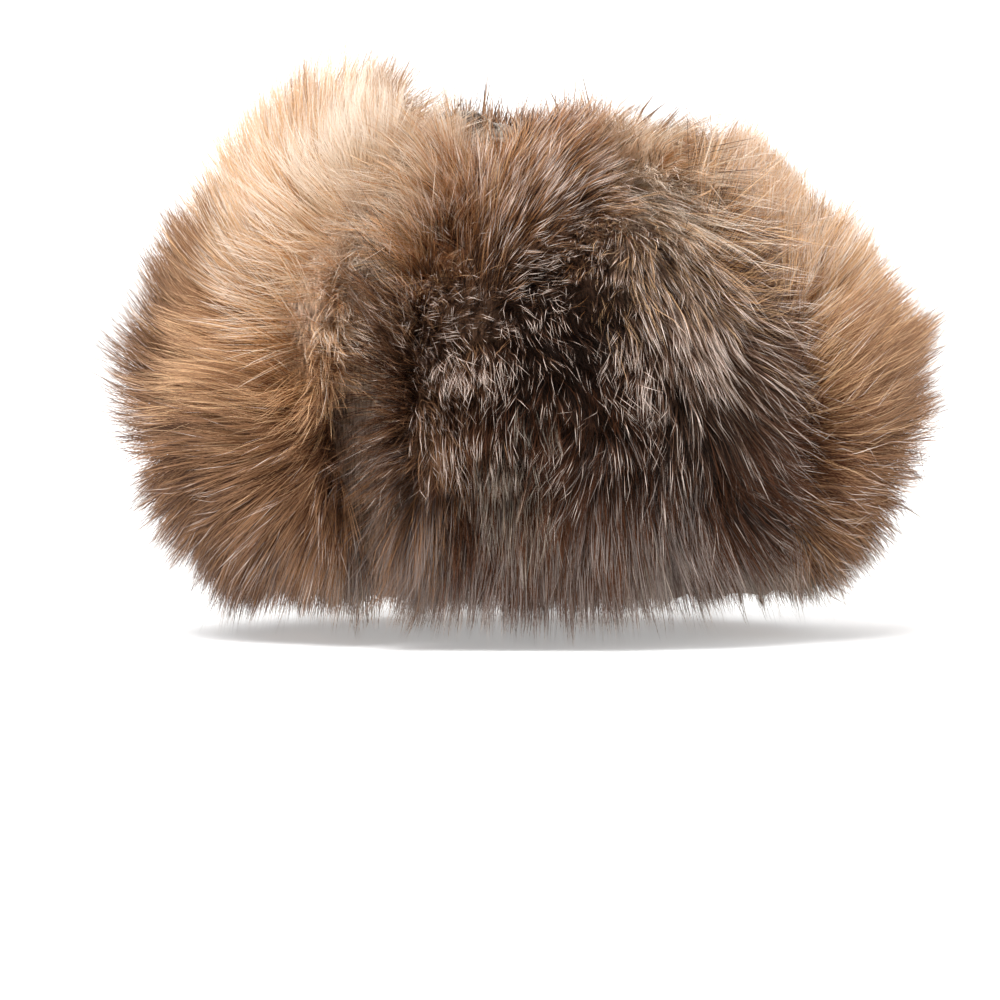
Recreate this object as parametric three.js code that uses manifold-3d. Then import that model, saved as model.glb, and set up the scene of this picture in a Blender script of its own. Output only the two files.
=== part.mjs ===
// Aviator hat in long fox fur: a cloth crown, a turned-up front flap, two turned-up ear flaps and a neck flap,
// and the ribbon that ties the ear flaps over the crown. Millimetres, +Z up, the front looks along -Y.
// The hat rests on the fur below its rim, which is pressed flat at height 0.

import * as THREE from "three";
import { mergeVertices } from "three/addons/utils/BufferGeometryUtils.js";
import Module from "manifold-3d";

const wasm = await Module();
wasm.setup();

// Driving sizes. The opening is that of a 58 cm hat.
const HEAD_HALF_WIDTH = 81;
const HEAD_HALF_DEPTH = 102;
const CLOTH = 2;
const RIM_HEIGHT = 26;
const CROWN_TOP = 190;
const CROWN_FULLNESS = 2.5;
const CROWN_SIDES = 32;
const CROWN_ROWS = 9;
const GAP = 0.4;

// The fur's section from the bottom out, up and over to the crown: its height, and how far it reaches out past
// the rim at the side and at the front.
const FUR_SECTION = [
  { height: 0, side: 14, front: 12 },
  { height: 10, side: 29, front: 24 },
  { height: 25, side: 45, front: 36 },
  { height: 45, side: 60, front: 46 },
  { height: 69, side: 71, front: 53 },
  { height: 95, side: 76, front: 56 },
  { height: 121, side: 73, front: 53 },
  { height: 144, side: 64, front: 45 },
  { height: 164, side: 51, front: 34 },
  { height: 181, side: 36, front: 20 },
  { height: 195, side: 17, front: 4 },
  { height: 203, side: -5, front: -15 },
  { height: 199, side: -24, front: -33 },
];
const FUR_INNER_TOP = 173;
const INNER_STEPS = 4;

// Each flap: the middle and half spread of its sector in degrees, its height against the section's, how plump its
// two ends stay and how much lower they are, and the height that its locks part at.
const FLAPS = [
  { name: "front_flap", middle: 0, spread: 37.7, tall: 1.0, ends: 0.62, dip: 0.06, parting: 118, seed: 11 },
  { name: "ear_flap_left", middle: 88, spread: 49.7, tall: 0.99, ends: 0.6, dip: 0.1, parting: 92, seed: 23 },
  { name: "neck_flap", middle: 180, spread: 41.7, tall: 0.98, ends: 0.62, dip: 0.06, parting: 100, seed: 37 },
  { name: "ear_flap_right", middle: -88, spread: 49.7, tall: 1.025, ends: 0.6, dip: 0.1, parting: 92, seed: 41 },
];
const SECTOR_STEP = 13;
const PLUMPNESS = 2.4;

// Locks of guard hair: flat four-sided horns with sunk roots, which follow the curve of the fur and lift off it.
const LOCK = {
  pitch: 43,
  rowPitch: 38,
  length: 64,
  halfWidth: 14,
  halfThick: 7,
  sunk: 4,
  lift: 21,
  curve: 110,
};

// The ribbon over the crown, and its knot, which stands a little to the right ear's side.
const RIBBON = { halfLength: 45, width: 14, thick: 1.4, steps: 12 };
const KNOT = { x: -14, y: 2, length: 23, width: 18, height: 12 };
const TAILS = [
  { dx: -7, dy: -5, rise: 9, length: 15 },
  { dx: 10, dy: -24, rise: 0, length: 30 },
];

const MATERIALS = {
  cloth: new THREE.MeshStandardMaterial({ color: 0x6f665d, roughness: 0.9, metalness: 0 }),
  ribbon: new THREE.MeshStandardMaterial({ color: 0x867b70, roughness: 0.85, metalness: 0 }),
  front_fur: new THREE.MeshStandardMaterial({ color: 0x6a5040, roughness: 0.8, metalness: 0 }),
  side_fur: new THREE.MeshStandardMaterial({ color: 0xb98a5c, roughness: 0.8, metalness: 0 }),
};

const radians = THREE.MathUtils.degToRad;

// A repeatable run of numbers from 0 to 1.
function numbersFrom(seed) {
  let state = seed;
  return () => {
    state = (state * 1103515245 + 12345) % 2147483648;
    return state / 2147483648;
  };
}

// How far an ellipse of these half axes lies from its centre at an angle: 0 is the front, and 90 the left ear.
function ellipseRadius(angle, halfWidth, halfDepth) {
  return 1 / Math.hypot(Math.sin(angle) / halfWidth, Math.cos(angle) / halfDepth);
}

function placed(angle, radius, height) {
  return new THREE.Vector3(radius * Math.sin(angle), -radius * Math.cos(angle), height);
}

// The crown's outer radius, grown by some clearance, at an angle and height. Below the rim it goes straight down.
function crownRadius(angle, height, clearance) {
  const rim = ellipseRadius(angle, HEAD_HALF_WIDTH + CLOTH + clearance, HEAD_HALF_DEPTH + CLOTH + clearance);
  const rise = Math.max(0, height - RIM_HEIGHT) / (CROWN_TOP + clearance - RIM_HEIGHT);
  return rim * Math.pow(Math.max(0, 1 - Math.pow(rise, CROWN_FULLNESS)), 1 / CROWN_FULLNESS);
}

function meshFrom(points, index) {
  const positions = points.flatMap((p) => [p.x, p.y, p.z]);
  const geometry = new THREE.BufferGeometry();
  geometry.setAttribute("position", new THREE.Float32BufferAttribute(positions, 3));
  geometry.setIndex(index);
  return geometry;
}

// A closed mesh from rings of points, each joined to the next, with its two ends filled.
function loft(rings) {
  const count = rings[0].length;
  const last = (rings.length - 1) * count;
  const index = [];
  for (let i = 0; i < last; i += count) {
    for (let j = 0; j < count; j++) {
      const k = (j + 1) % count;
      index.push(i + j, i + count + j, i + count + k, i + j, i + count + k, i + k);
    }
  }
  const near = THREE.ShapeUtils.triangulateShape(flattened(rings[0]), []);
  const far = THREE.ShapeUtils.triangulateShape(flattened(rings[rings.length - 1]), []);
  near.forEach(([a, b, c]) => index.push(a, b, c));
  far.forEach(([a, b, c]) => index.push(last + a, last + c, last + b));
  return meshFrom(rings.flat(), index);
}

// A ring of points laid flat in its own plane, for filling it with triangles.
function flattened(ring) {
  const centre = ring.reduce((sum, p) => sum.add(p), new THREE.Vector3()).divideScalar(ring.length);
  const normal = new THREE.Vector3();
  ring.forEach((p, i) => {
    const next = ring[(i + 1) % ring.length];
    normal.add(p.clone().sub(centre).cross(next.clone().sub(centre)));
  });
  normal.normalize();
  const across = ring[0].clone().sub(centre).projectOnPlane(normal).normalize();
  const up = normal.clone().cross(across);
  return ring.map((p) => {
    const from = p.clone().sub(centre);
    return new THREE.Vector2(from.dot(across), from.dot(up));
  });
}

// A mesh as a solid that can be joined and cut. A mesh whose faces look inward is turned first.
function solidOf(geometry) {
  const bare = geometry.clone();
  bare.deleteAttribute("normal");
  bare.deleteAttribute("uv");
  const merged = mergeVertices(bare, 1e-4);
  const vertProperties = new Float32Array(merged.attributes.position.array);
  const triVerts = new Uint32Array(merged.index.array);
  const solid = new wasm.Manifold(new wasm.Mesh({ numProp: 3, vertProperties, triVerts }));
  if (solid.volume() > 0) return solid;
  for (let i = 0; i < triVerts.length; i += 3) [triVerts[i + 1], triVerts[i + 2]] = [triVerts[i + 2], triVerts[i + 1]];
  return new wasm.Manifold(new wasm.Mesh({ numProp: 3, vertProperties, triVerts }));
}

function geometryOf(solid) {
  const mesh = solid.getMesh();
  const geometry = new THREE.BufferGeometry();
  geometry.setAttribute("position", new THREE.Float32BufferAttribute(mesh.vertProperties, 3));
  geometry.setIndex(new THREE.BufferAttribute(mesh.triVerts, 1));
  geometry.computeVertexNormals();
  return geometry;
}

// The biggest body of a solid, without the crumbs that a cut can leave.
function mainBody(solid) {
  return solid.decompose().reduce((best, body) => (body.volume() > best.volume() ? body : best));
}

// The crown's outline some clearance out: rings from the rim up, without the top point.
function crownRings(clearance) {
  return Array.from({ length: CROWN_ROWS }, (_, i) => {
    const turn = ((i / CROWN_ROWS) * Math.PI) / 2;
    const rise = CROWN_TOP + clearance - RIM_HEIGHT;
    const height = RIM_HEIGHT + rise * Math.pow(Math.sin(turn), 2 / CROWN_FULLNESS);
    return Array.from({ length: CROWN_SIDES }, (_, k) => {
      const angle = (k / CROWN_SIDES) * 2 * Math.PI;
      return placed(angle, crownRadius(angle, height, clearance), height);
    });
  });
}

// The crown: a domed cloth shell, open below, made of an outer and an inner skin that meet at the rim.
function crown() {
  const rings = [...crownRings(0), ...crownRings(-CLOTH).reverse()];
  const points = rings.flat();
  const index = [];
  const quad = (a, b, c, d) => index.push(a, b, c, a, c, d);
  const around = CROWN_SIDES;
  const innerRim = (rings.length - 1) * around;
  const outerTop = points.length;
  points.push(placed(0, 0, CROWN_TOP), placed(0, 0, CROWN_TOP - CLOTH));
  for (let k = 0; k < around; k++) {
    const next = (k + 1) % around;
    for (let i = 0; i < rings.length - 1; i++) {
      if (i === CROWN_ROWS - 1) continue;
      quad(i * around + k, i * around + next, (i + 1) * around + next, (i + 1) * around + k);
    }
    quad(k, innerRim + k, innerRim + next, next);
    index.push((CROWN_ROWS - 1) * around + k, (CROWN_ROWS - 1) * around + next, outerTop);
    index.push(CROWN_ROWS * around + next, CROWN_ROWS * around + k, outerTop + 1);
  }
  const geometry = meshFrom(points, index);
  geometry.computeVertexNormals();
  return geometry;
}

// How plump a flap is at a place across it, from its ends at -1 and 1 to 1 in the middle.
function plumpness(flap, across) {
  const share = Math.pow(1 - Math.pow(Math.min(1, Math.abs(across)), PLUMPNESS), 1 / PLUMPNESS);
  return flap.ends + (1 - flap.ends) * share;
}

// A point on a flap's outer fur: across it from -1 to 1, and along the section by row, which may be a fraction.
function furPoint(flap, across, row) {
  const angle = radians(flap.middle + across * flap.spread);
  const below = Math.min(Math.floor(row), FUR_SECTION.length - 2);
  const share = row - below;
  const mix = (key) => FUR_SECTION[below][key] * (1 - share) + FUR_SECTION[below + 1][key] * share;
  const plump = plumpness(flap, across);
  const sideways = Math.sin(angle) ** 2;
  const out = mix("front") * (1 - sideways) + mix("side") * sideways;
  const reach = out > 0 ? out * plump : out;
  const height = mix("height") * flap.tall * (1 - flap.dip * endness(flap, plump));
  return placed(angle, crownRadius(angle, 0, GAP) + reach, height);
}

// 0 in the middle of a flap and 1 at its ends.
function endness(flap, plump) {
  return (1 - plump) / (1 - flap.ends);
}

// The fur's body: sections swept round the crown, with the crown's own outline, less a gap, as their inner side.
function furBody(flap) {
  const steps = Math.ceil((2 * flap.spread) / SECTOR_STEP);
  const rings = Array.from({ length: steps + 1 }, (_, i) => {
    const across = (2 * i) / steps - 1;
    const angle = radians(flap.middle + across * flap.spread);
    const end = endness(flap, plumpness(flap, across));
    const innerTop = FUR_INNER_TOP * flap.tall * (1 - flap.dip * end);
    const outer = FUR_SECTION.map((_, row) => furPoint(flap, across, row));
    const inner = Array.from({ length: INNER_STEPS + 1 }, (_, k) => {
      const height = innerTop * (1 - k / INNER_STEPS);
      return placed(angle, crownRadius(angle, height, GAP), height);
    });
    return [...outer, ...inner];
  });
  return solidOf(loft(rings));
}

// The outward direction of a flap's fur at a place on it.
function furNormal(flap, across, row) {
  const e = 0.02;
  const along = furPoint(flap, across + e, row).sub(furPoint(flap, across - e, row));
  const up = furPoint(flap, across, row + e).sub(furPoint(flap, across, Math.max(0, row - e)));
  return along.cross(up).normalize();
}

// The way that the hair lies: away from the flap's middle, up the fur's section above its parting, down it below.
function combed(flap, across, row) {
  const angle = radians(flap.middle + across * flap.spread);
  const sideways = new THREE.Vector3(Math.cos(angle), Math.sin(angle), 0);
  const upward = furPoint(flap, across, row + 0.05).sub(furPoint(flap, across, row - 0.05)).normalize();
  const height = furPoint(flap, across, row).z;
  const rise = THREE.MathUtils.clamp((height - flap.parting) / 50, -1.3, 1.3);
  const away = flap.name.startsWith("ear") ? Math.sign(flap.middle) * 0.55 : across * 0.9;
  return sideways.multiplyScalar(away).addScaledVector(upward, rise).normalize();
}

// One lock: a horn with a four-sided section that curves along the fur and ends in a point lifted off it.
function lockHorn(root, normal, lie, size) {
  const forward = lie.clone().projectOnPlane(normal).normalize();
  const wide = forward.clone().cross(normal).normalize();
  const length = LOCK.length * size;
  const spine = (share) => {
    const gone = length * share;
    const lift = LOCK.lift * size * share * share + 2 * share;
    const point = root.clone().addScaledVector(forward, gone - 10);
    return point.addScaledVector(normal, lift - LOCK.sunk * (1 - share) - (gone * gone) / (2 * LOCK.curve));
  };
  const ring = (centre, scale) => [
    centre.clone().addScaledVector(wide, LOCK.halfWidth * size * scale),
    centre.clone().addScaledVector(normal, LOCK.halfThick * size * scale),
    centre.clone().addScaledVector(wide, -LOCK.halfWidth * size * scale),
    centre.clone().addScaledVector(normal, -LOCK.halfThick * size * scale),
  ];
  const points = [...ring(spine(0), 0.85), ...ring(spine(0.55), 0.8), spine(1)];
  const index = [0, 2, 1, 0, 3, 2];
  for (let k = 0; k < 4; k++) {
    const next = (k + 1) % 4;
    index.push(k, next, 4 + next, k, 4 + next, 4 + k, 4 + k, 4 + next, 8);
  }
  return solidOf(meshFrom(points, index));
}

// A flap: its body and its locks in one solid, kept inside its own sector and above the surface it rests on.
function furFlap(flap) {
  const random = numbersFrom(flap.seed);
  const lastRow = FUR_SECTION.length - 2.4;
  let solid = furBody(flap);
  let row = 0.5;
  for (let line = 0; row < lastRow; line++) {
    const width = furPoint(flap, -1, row).distanceTo(furPoint(flap, 0, row)) * 2.15;
    const count = Math.max(3, Math.round(width / LOCK.pitch));
    for (let k = 0; k < count; k++) {
      const shift = (line % 2 ? 0.25 : -0.25) + (random() - 0.5) * 0.4;
      const across = THREE.MathUtils.clamp((2 * (k + 0.5 + shift)) / count - 1, -0.92, 0.92);
      const at = THREE.MathUtils.clamp(row + (random() - 0.5) * 0.5, 0.2, lastRow);
      const root = furPoint(flap, across, at);
      const size = 0.82 + 0.36 * random();
      solid = solid.add(lockHorn(root, furNormal(flap, across, at), combed(flap, across, at), size));
    }
    const half = furPoint(flap, 0, Math.min(lastRow, row + 0.5)).distanceTo(furPoint(flap, 0, row));
    row += (0.5 * LOCK.rowPitch) / half;
  }
  return mainBody(solid.intersect(sector(flap)).subtract(crownCore()).subtract(tieRibbon(GAP)));
}

// The room that a flap may fill: a wedge about the crown's axis, above the resting surface.
function sector(flap) {
  const reach = 420;
  const top = 260;
  const steps = 6;
  const spread = radians(flap.spread);
  const shape = new THREE.Shape();
  shape.moveTo(0, 0);
  for (let i = 0; i <= steps; i++) {
    const angle = radians(flap.middle) + spread * ((2 * i) / steps - 1);
    shape.lineTo(reach * Math.sin(angle), -reach * Math.cos(angle));
  }
  shape.closePath();
  return solidOf(new THREE.ExtrudeGeometry(shape, { depth: top, bevelEnabled: false }));
}

// The crown grown by the gap and filled, which the fur is cut clear of.
function crownCore() {
  const rings = crownRings(GAP);
  const below = rings[0].map((p) => new THREE.Vector3(p.x, p.y, -RIM_HEIGHT));
  const shrunk = rings[0].map((_, k) => placed((k / CROWN_SIDES) * 2 * Math.PI, 0.5, CROWN_TOP + GAP));
  return solidOf(loft([shrunk, ...rings.reverse(), below]));
}

// The height of the crown's top at a place on it, some clearance up.
function crownHeight(x, y, clearance) {
  const out = Math.hypot(x / (HEAD_HALF_WIDTH + CLOTH), y / (HEAD_HALF_DEPTH + CLOTH));
  const share = Math.pow(Math.max(0, 1 - Math.pow(out, CROWN_FULLNESS)), 1 / CROWN_FULLNESS);
  return RIM_HEIGHT + (CROWN_TOP - RIM_HEIGHT) * share + clearance;
}

// A flat band with a rectangular section, along a line of points, its width along the given direction.
function band(line, across, width, thick) {
  const rings = line.map((point, i) => {
    const next = line[Math.min(i + 1, line.length - 1)];
    const before = line[Math.max(i - 1, 0)];
    const along = next.clone().sub(before).normalize();
    const side = across.clone().projectOnPlane(along).normalize();
    const up = along.clone().cross(side).normalize();
    if (up.z < 0) up.negate();
    return [
      point.clone().addScaledVector(side, -width / 2),
      point.clone().addScaledVector(side, width / 2),
      point.clone().addScaledVector(side, width / 2).addScaledVector(up, thick),
      point.clone().addScaledVector(side, -width / 2).addScaledVector(up, thick),
    ];
  });
  return solidOf(loft(rings));
}

// The ribbon over the crown, whose ends go in under the ear flaps, grown by some room for cutting them.
function tieRibbon(room) {
  const half = RIBBON.halfLength + room;
  const line = Array.from({ length: RIBBON.steps + 1 }, (_, i) => {
    const x = half * ((2 * i) / RIBBON.steps - 1);
    return new THREE.Vector3(x, KNOT.y, crownHeight(x, KNOT.y, 2 * GAP - room));
  });
  return band(line, new THREE.Vector3(0, 1, 0), RIBBON.width + 2 * room, RIBBON.thick + 2 * room);
}

// The knot: a flattened ball on the ribbon, with one end that stands up and one that lies along the crown.
function tieKnot() {
  const base = crownHeight(KNOT.x, KNOT.y, 3 * GAP) + RIBBON.thick;
  const ball = new THREE.SphereGeometry(0.5, 14, 9);
  ball.rotateX(Math.PI / 2);
  ball.scale(KNOT.length, KNOT.width, KNOT.height);
  ball.translate(KNOT.x, KNOT.y, base + KNOT.height / 2);
  let solid = solidOf(ball);
  for (const tail of TAILS) {
    const way = new THREE.Vector3(tail.dx, tail.dy, 0).normalize();
    const line = Array.from({ length: 8 }, (_, i) => {
      const share = i / 7;
      const x = KNOT.x + way.x * tail.length * share;
      const y = KNOT.y + way.y * tail.length * share;
      const droop = (RIBBON.thick + KNOT.height * 0.4) * (1 - share ** 3);
      const stands = base + KNOT.height * 0.5 + tail.rise * share ** 0.7;
      return new THREE.Vector3(x, y, tail.rise ? stands : crownHeight(x, y, 2 * GAP) + droop);
    });
    const across = new THREE.Vector3(-way.y, way.x, 0);
    solid = solid.add(band(line, across, RIBBON.width * 0.86, RIBBON.thick));
  }
  return geometryOf(mainBody(solid));
}

const group = new THREE.Group();

function addMesh(name, geometry, material) {
  const mesh = new THREE.Mesh(geometry, material);
  mesh.name = name;
  group.add(mesh);
}

addMesh("crown", crown(), MATERIALS.cloth);
addMesh("tie_ribbon", geometryOf(tieRibbon(0)), MATERIALS.ribbon);
addMesh("tie_knot", tieKnot(), MATERIALS.ribbon);
for (const flap of FLAPS) {
  const material = flap.name === "front_flap" ? MATERIALS.front_fur : MATERIALS.side_fur;
  addMesh(flap.name, geometryOf(furFlap(flap)), material);
}

// The whole hat is moved so that the middle of its base lies at the origin.
const box = new THREE.Box3().setFromObject(group);
const middle = box.getCenter(new THREE.Vector3());
group.children.forEach((mesh) => mesh.geometry.translate(-middle.x, -middle.y, -box.min.z));

export default group;
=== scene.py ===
# %% [markdown]
# # An aviator hat in fox fur
# The hat is a cloth crown with four fur flaps turned up round it: one over the forehead, two over the
# ears and one over the neck. The solids of the model are the frame, and this lesson dresses them: hide
# and undercoat, then long guard hair, then the cloth and the ribbon. Everything is made from numbers,
# so it comes out the same each time.

import math

import bmesh
import bpy
import numpy as np
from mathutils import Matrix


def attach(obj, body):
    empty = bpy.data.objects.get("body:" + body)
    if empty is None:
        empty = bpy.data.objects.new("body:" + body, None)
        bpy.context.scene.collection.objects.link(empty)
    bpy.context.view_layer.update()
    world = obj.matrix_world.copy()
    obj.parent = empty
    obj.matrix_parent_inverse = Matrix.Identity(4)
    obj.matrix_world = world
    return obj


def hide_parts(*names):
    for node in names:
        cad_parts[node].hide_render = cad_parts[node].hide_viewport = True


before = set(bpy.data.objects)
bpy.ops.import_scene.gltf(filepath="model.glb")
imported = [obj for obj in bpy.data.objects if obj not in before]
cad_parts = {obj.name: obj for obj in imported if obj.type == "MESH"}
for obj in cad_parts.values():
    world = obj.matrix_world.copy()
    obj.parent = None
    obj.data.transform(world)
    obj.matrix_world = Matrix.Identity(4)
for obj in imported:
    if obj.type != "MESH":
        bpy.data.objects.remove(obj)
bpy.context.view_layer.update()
print("solids:", sorted(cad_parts))

# %% [markdown]
# Blender works in metres, and a hat is easier to think about in millimetres. All shapes are worked out
# in millimetres as numpy arrays, with one row for each point, and turned to metres when the mesh is
# made. The crown's middle isn't quite at the origin, because the origin is the middle of the fur's box.

# %% units and small vector tools
MM = 0.001
CROWN_MIDDLE = np.array([1.09, 0.38, 0.0])


def unit(vectors):
    """Each vector divided by its own length."""
    return vectors / np.maximum(np.linalg.norm(vectors, axis=-1, keepdims=True), 1e-9)


def around(angle, radius, height):
    """Points at an angle, radius and height about the crown's axis. 0 is the front, 90 degrees the left
    ear."""
    parts = np.broadcast_arrays(radius * np.sin(angle), -radius * np.cos(angle), height)
    return np.stack(parts, -1) + CROWN_MIDDLE


def smooth_noise(x, y, seed):
    """Random heights from 0 to 1 at whole x and y, and a blend by 3s^2 - 2s^3 of the four nearest
    between."""
    table = np.random.default_rng(seed).random((64, 64))
    ix, iy = np.floor(x).astype(int), np.floor(y).astype(int)
    sx, sy = x - ix, y - iy
    sx, sy = sx * sx * (3 - 2 * sx), sy * sy * (3 - 2 * sy)
    near = table[ix % 64, iy % 64] * (1 - sx) + table[(ix + 1) % 64, iy % 64] * sx
    far = table[ix % 64, (iy + 1) % 64] * (1 - sx) + table[(ix + 1) % 64, (iy + 1) % 64] * sx
    return near * (1 - sy) + far * sy


# %% [markdown]
# The crown is an egg-shaped dome: straight up to nothing at the rim, then rounding over like a ball
# that has been pressed a little square. A superellipse gives that with one number for its fullness. The
# fur's outside is a section swept round the crown. The section is a short table of heights with the
# fur's reach past the rim at the side and at the front, and a smooth curve goes through its rows.

# %% the crown's outline and the fur's section
HEAD_HALF_WIDTH, HEAD_HALF_DEPTH, CLOTH = 81.0, 102.0, 2.0
RIM_HEIGHT, CROWN_TOP, FULLNESS = 26.0, 190.0, 2.5
# the play between the crown and what lies on it, in mm
GAP = 0.4

# height, reach at the side, reach at the front, and how deep the hair's roots lie under the outline
FUR_SECTION = np.array(
    [
        (0, 14, 12, 8),
        (10, 29, 24, 13),
        (25, 45, 36, 18),
        (45, 60, 46, 22),
        (69, 71, 53, 25),
        (95, 76, 56, 25),
        (121, 73, 53, 25),
        (144, 64, 45, 24),
        (164, 51, 34, 23),
        (181, 36, 20, 21),
        (195, 17, 4, 18),
        (203, -5, -15, 15),
        (199, -24, -33, 10),
        (188, -37, -46, 7),
    ],
    float,
)
LAST_ROW = len(FUR_SECTION) - 1


def crown_radius(angle, height, clearance):
    """The ellipse of the head, times (1 - rise^n)^(1/n), where rise is the share of the way up from the
    rim."""
    wide = HEAD_HALF_WIDTH + CLOTH + clearance
    deep = HEAD_HALF_DEPTH + CLOTH + clearance
    rim = 1 / np.hypot(np.sin(angle) / wide, np.cos(angle) / deep)
    rise = np.clip((height - RIM_HEIGHT) / (CROWN_TOP + clearance - RIM_HEIGHT), 0, 1)
    return rim * (1 - rise**FULLNESS) ** (1 / FULLNESS)


def section(row):
    """The section's columns at a row that may be a fraction, on the Catmull-Rom curve through its
    rows."""
    row = np.clip(row, 0, LAST_ROW - 1e-6)
    i = np.floor(row).astype(int)
    s = (row - i)[..., None]
    before, here = FUR_SECTION[np.maximum(i - 1, 0)], FUR_SECTION[i]
    after, later = FUR_SECTION[i + 1], FUR_SECTION[np.minimum(i + 2, LAST_ROW)]
    bend = 2 * before - 5 * here + 4 * after - later
    twist = 3 * here - before - 3 * after + later
    return here + 0.5 * s * (after - before + s * (bend + s * twist))


print("fur section rows:", len(FUR_SECTION))

# %% [markdown]
# Each flap fills a sector round the crown. It is plump in its middle and lower and thinner at its two
# ends, which is what makes four lobes with valleys between them.

# %% the four flaps
# middle and half spread in degrees, height against the section's, plumpness of the ends, how much lower
# they are
FLAPS = {
    "front_flap": (0.0, 37.7, 1.0, 0.62, 0.06),
    "ear_flap_left": (88.0, 49.7, 0.99, 0.6, 0.1),
    "neck_flap": (180.0, 41.7, 0.98, 0.62, 0.06),
    "ear_flap_right": (-88.0, 49.7, 1.025, 0.6, 0.1),
}
PLUMPNESS = 2.4


def fur_point(name, across, row):
    """The fur's outline: across the flap from -1 to 1, and up its section by row. Its reach shrinks to
    the ends."""
    middle, spread, tall, ends, dip = FLAPS[name]
    angle = np.radians(middle + across * spread)
    height, side, front, _ = np.moveaxis(section(row), -1, 0)
    inner = np.clip(np.abs(across), 0, 1)
    plump = ends + (1 - ends) * (1 - inner**PLUMPNESS) ** (1 / PLUMPNESS)
    endness = (1 - plump) / (1 - ends)
    out = front * np.cos(angle) ** 2 + side * np.sin(angle) ** 2
    out = np.where(out > 0, out * plump, out)
    height = height * tall * (1 - dip * endness)
    return around(angle, crown_radius(angle, np.zeros_like(angle), GAP) + out, height)


def fur_frame(name, across, row):
    """At a place on the outline: the point, the outward, sideways and upward directions, and mm per
    across, row."""
    e = 0.01
    side = fur_point(name, across + e, row) - fur_point(name, across - e, row)
    up = fur_point(name, across, row + e) - fur_point(name, across, row - e)
    pace = np.linalg.norm(side, axis=-1) / (2 * e), np.linalg.norm(up, axis=-1) / (2 * e)
    side = unit(side)
    outward = unit(np.cross(side, up))
    return fur_point(name, across, row), outward, side, np.cross(outward, side), pace


# %% [markdown]
# A furrier reads a pelt by its colours along the hair: the root, the shaft and the tip. Red fox runs
# from cream through gold to brown, and its back has black roots with silver bands. Each pelt here is a
# short list of colours with the share of the hair's length where each one sits.

# %% colours and the pelts
def linear(code):
    """An sRGB hex value as linear light: c / 12.92 when dark, else ((c + 0.055) / 1.055) ^ 2.4."""
    parts = [int(code[i : i + 2], 16) / 255 for i in (1, 3, 5)]
    return [c / 12.92 if c <= 0.04045 else ((c + 0.055) / 1.055) ** 2.4 for c in parts] + [1.0]


PELTS = {
    "cream": (
        (0.0, "#c9a580"), (0.35, "#e6ceb0"), (0.7, "#f5e6d6"),
        (0.84, "#f0dfce"), (0.94, "#cfb39b"), (1.0, "#a3856f"),
    ),
    "golden": (
        (0.0, "#a87448"), (0.35, "#cf9e6d"), (0.7, "#e2bb92"),
        (0.82, "#dcb28b"), (0.93, "#a47b5b"), (1.0, "#6b4835"),
    ),
    "tawny": (
        (0.0, "#644229"), (0.4, "#8f6747"), (0.7, "#a87f5e"),
        (0.86, "#80604a"), (1.0, "#463024"),
    ),
    "amber": (
        (0.0, "#8d552d"), (0.4, "#b57c4b"), (0.7, "#ba875f"),
        (0.85, "#c9a587"), (1.0, "#b8987f"),
    ),
    "sable": ((0.0, "#332015"), (0.5, "#4e3626"), (0.8, "#644838"), (1.0, "#463328")),
    "umber": ((0.0, "#0e0805"), (0.6, "#1b110b"), (0.9, "#281912"), (1.0, "#2e1e16")),
    "russet": ((0.0, "#2b160c"), (0.4, "#482a18"), (0.75, "#573521"), (1.0, "#432b1e")),
    "taupe": ((0.0, "#3b2c23"), (0.4, "#745e4f"), (0.75, "#a08774"), (1.0, "#d2bfaf")),
    "ash": ((0.0, "#60554b"), (0.5, "#958879"), (1.0, "#c2b5a7")),
    "smoke": ((0.0, "#5a4941"), (0.5, "#7d6d65"), (0.85, "#a0928a"), (1.0, "#c4b9b3")),
    "frost": (
        (0.0, "#2a1a12"), (0.56, "#452f23"), (0.67, "#8d6d5a"),
        (0.77, "#f0ddd0"), (1.0, "#e0cabb"),
    ),
}
PELT_NAMES = list(PELTS)
print("pelts:", ", ".join(PELT_NAMES))

# %% [markdown]
# Fur is combed before it is made up. The comb table says which way the hair lies at a few dozen places
# on each flap: its direction on the surface (0 is towards rising angle, 90 up, -90 down), how far the
# tips stand off, how long the hair is, and which two pelts meet there. Between the places the values
# are blended, with more weight for the nearer ones, as a comb's strokes run into each other. Where the
# hat is seen from the front, the direction comes from the next cells' strokes instead.

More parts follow.
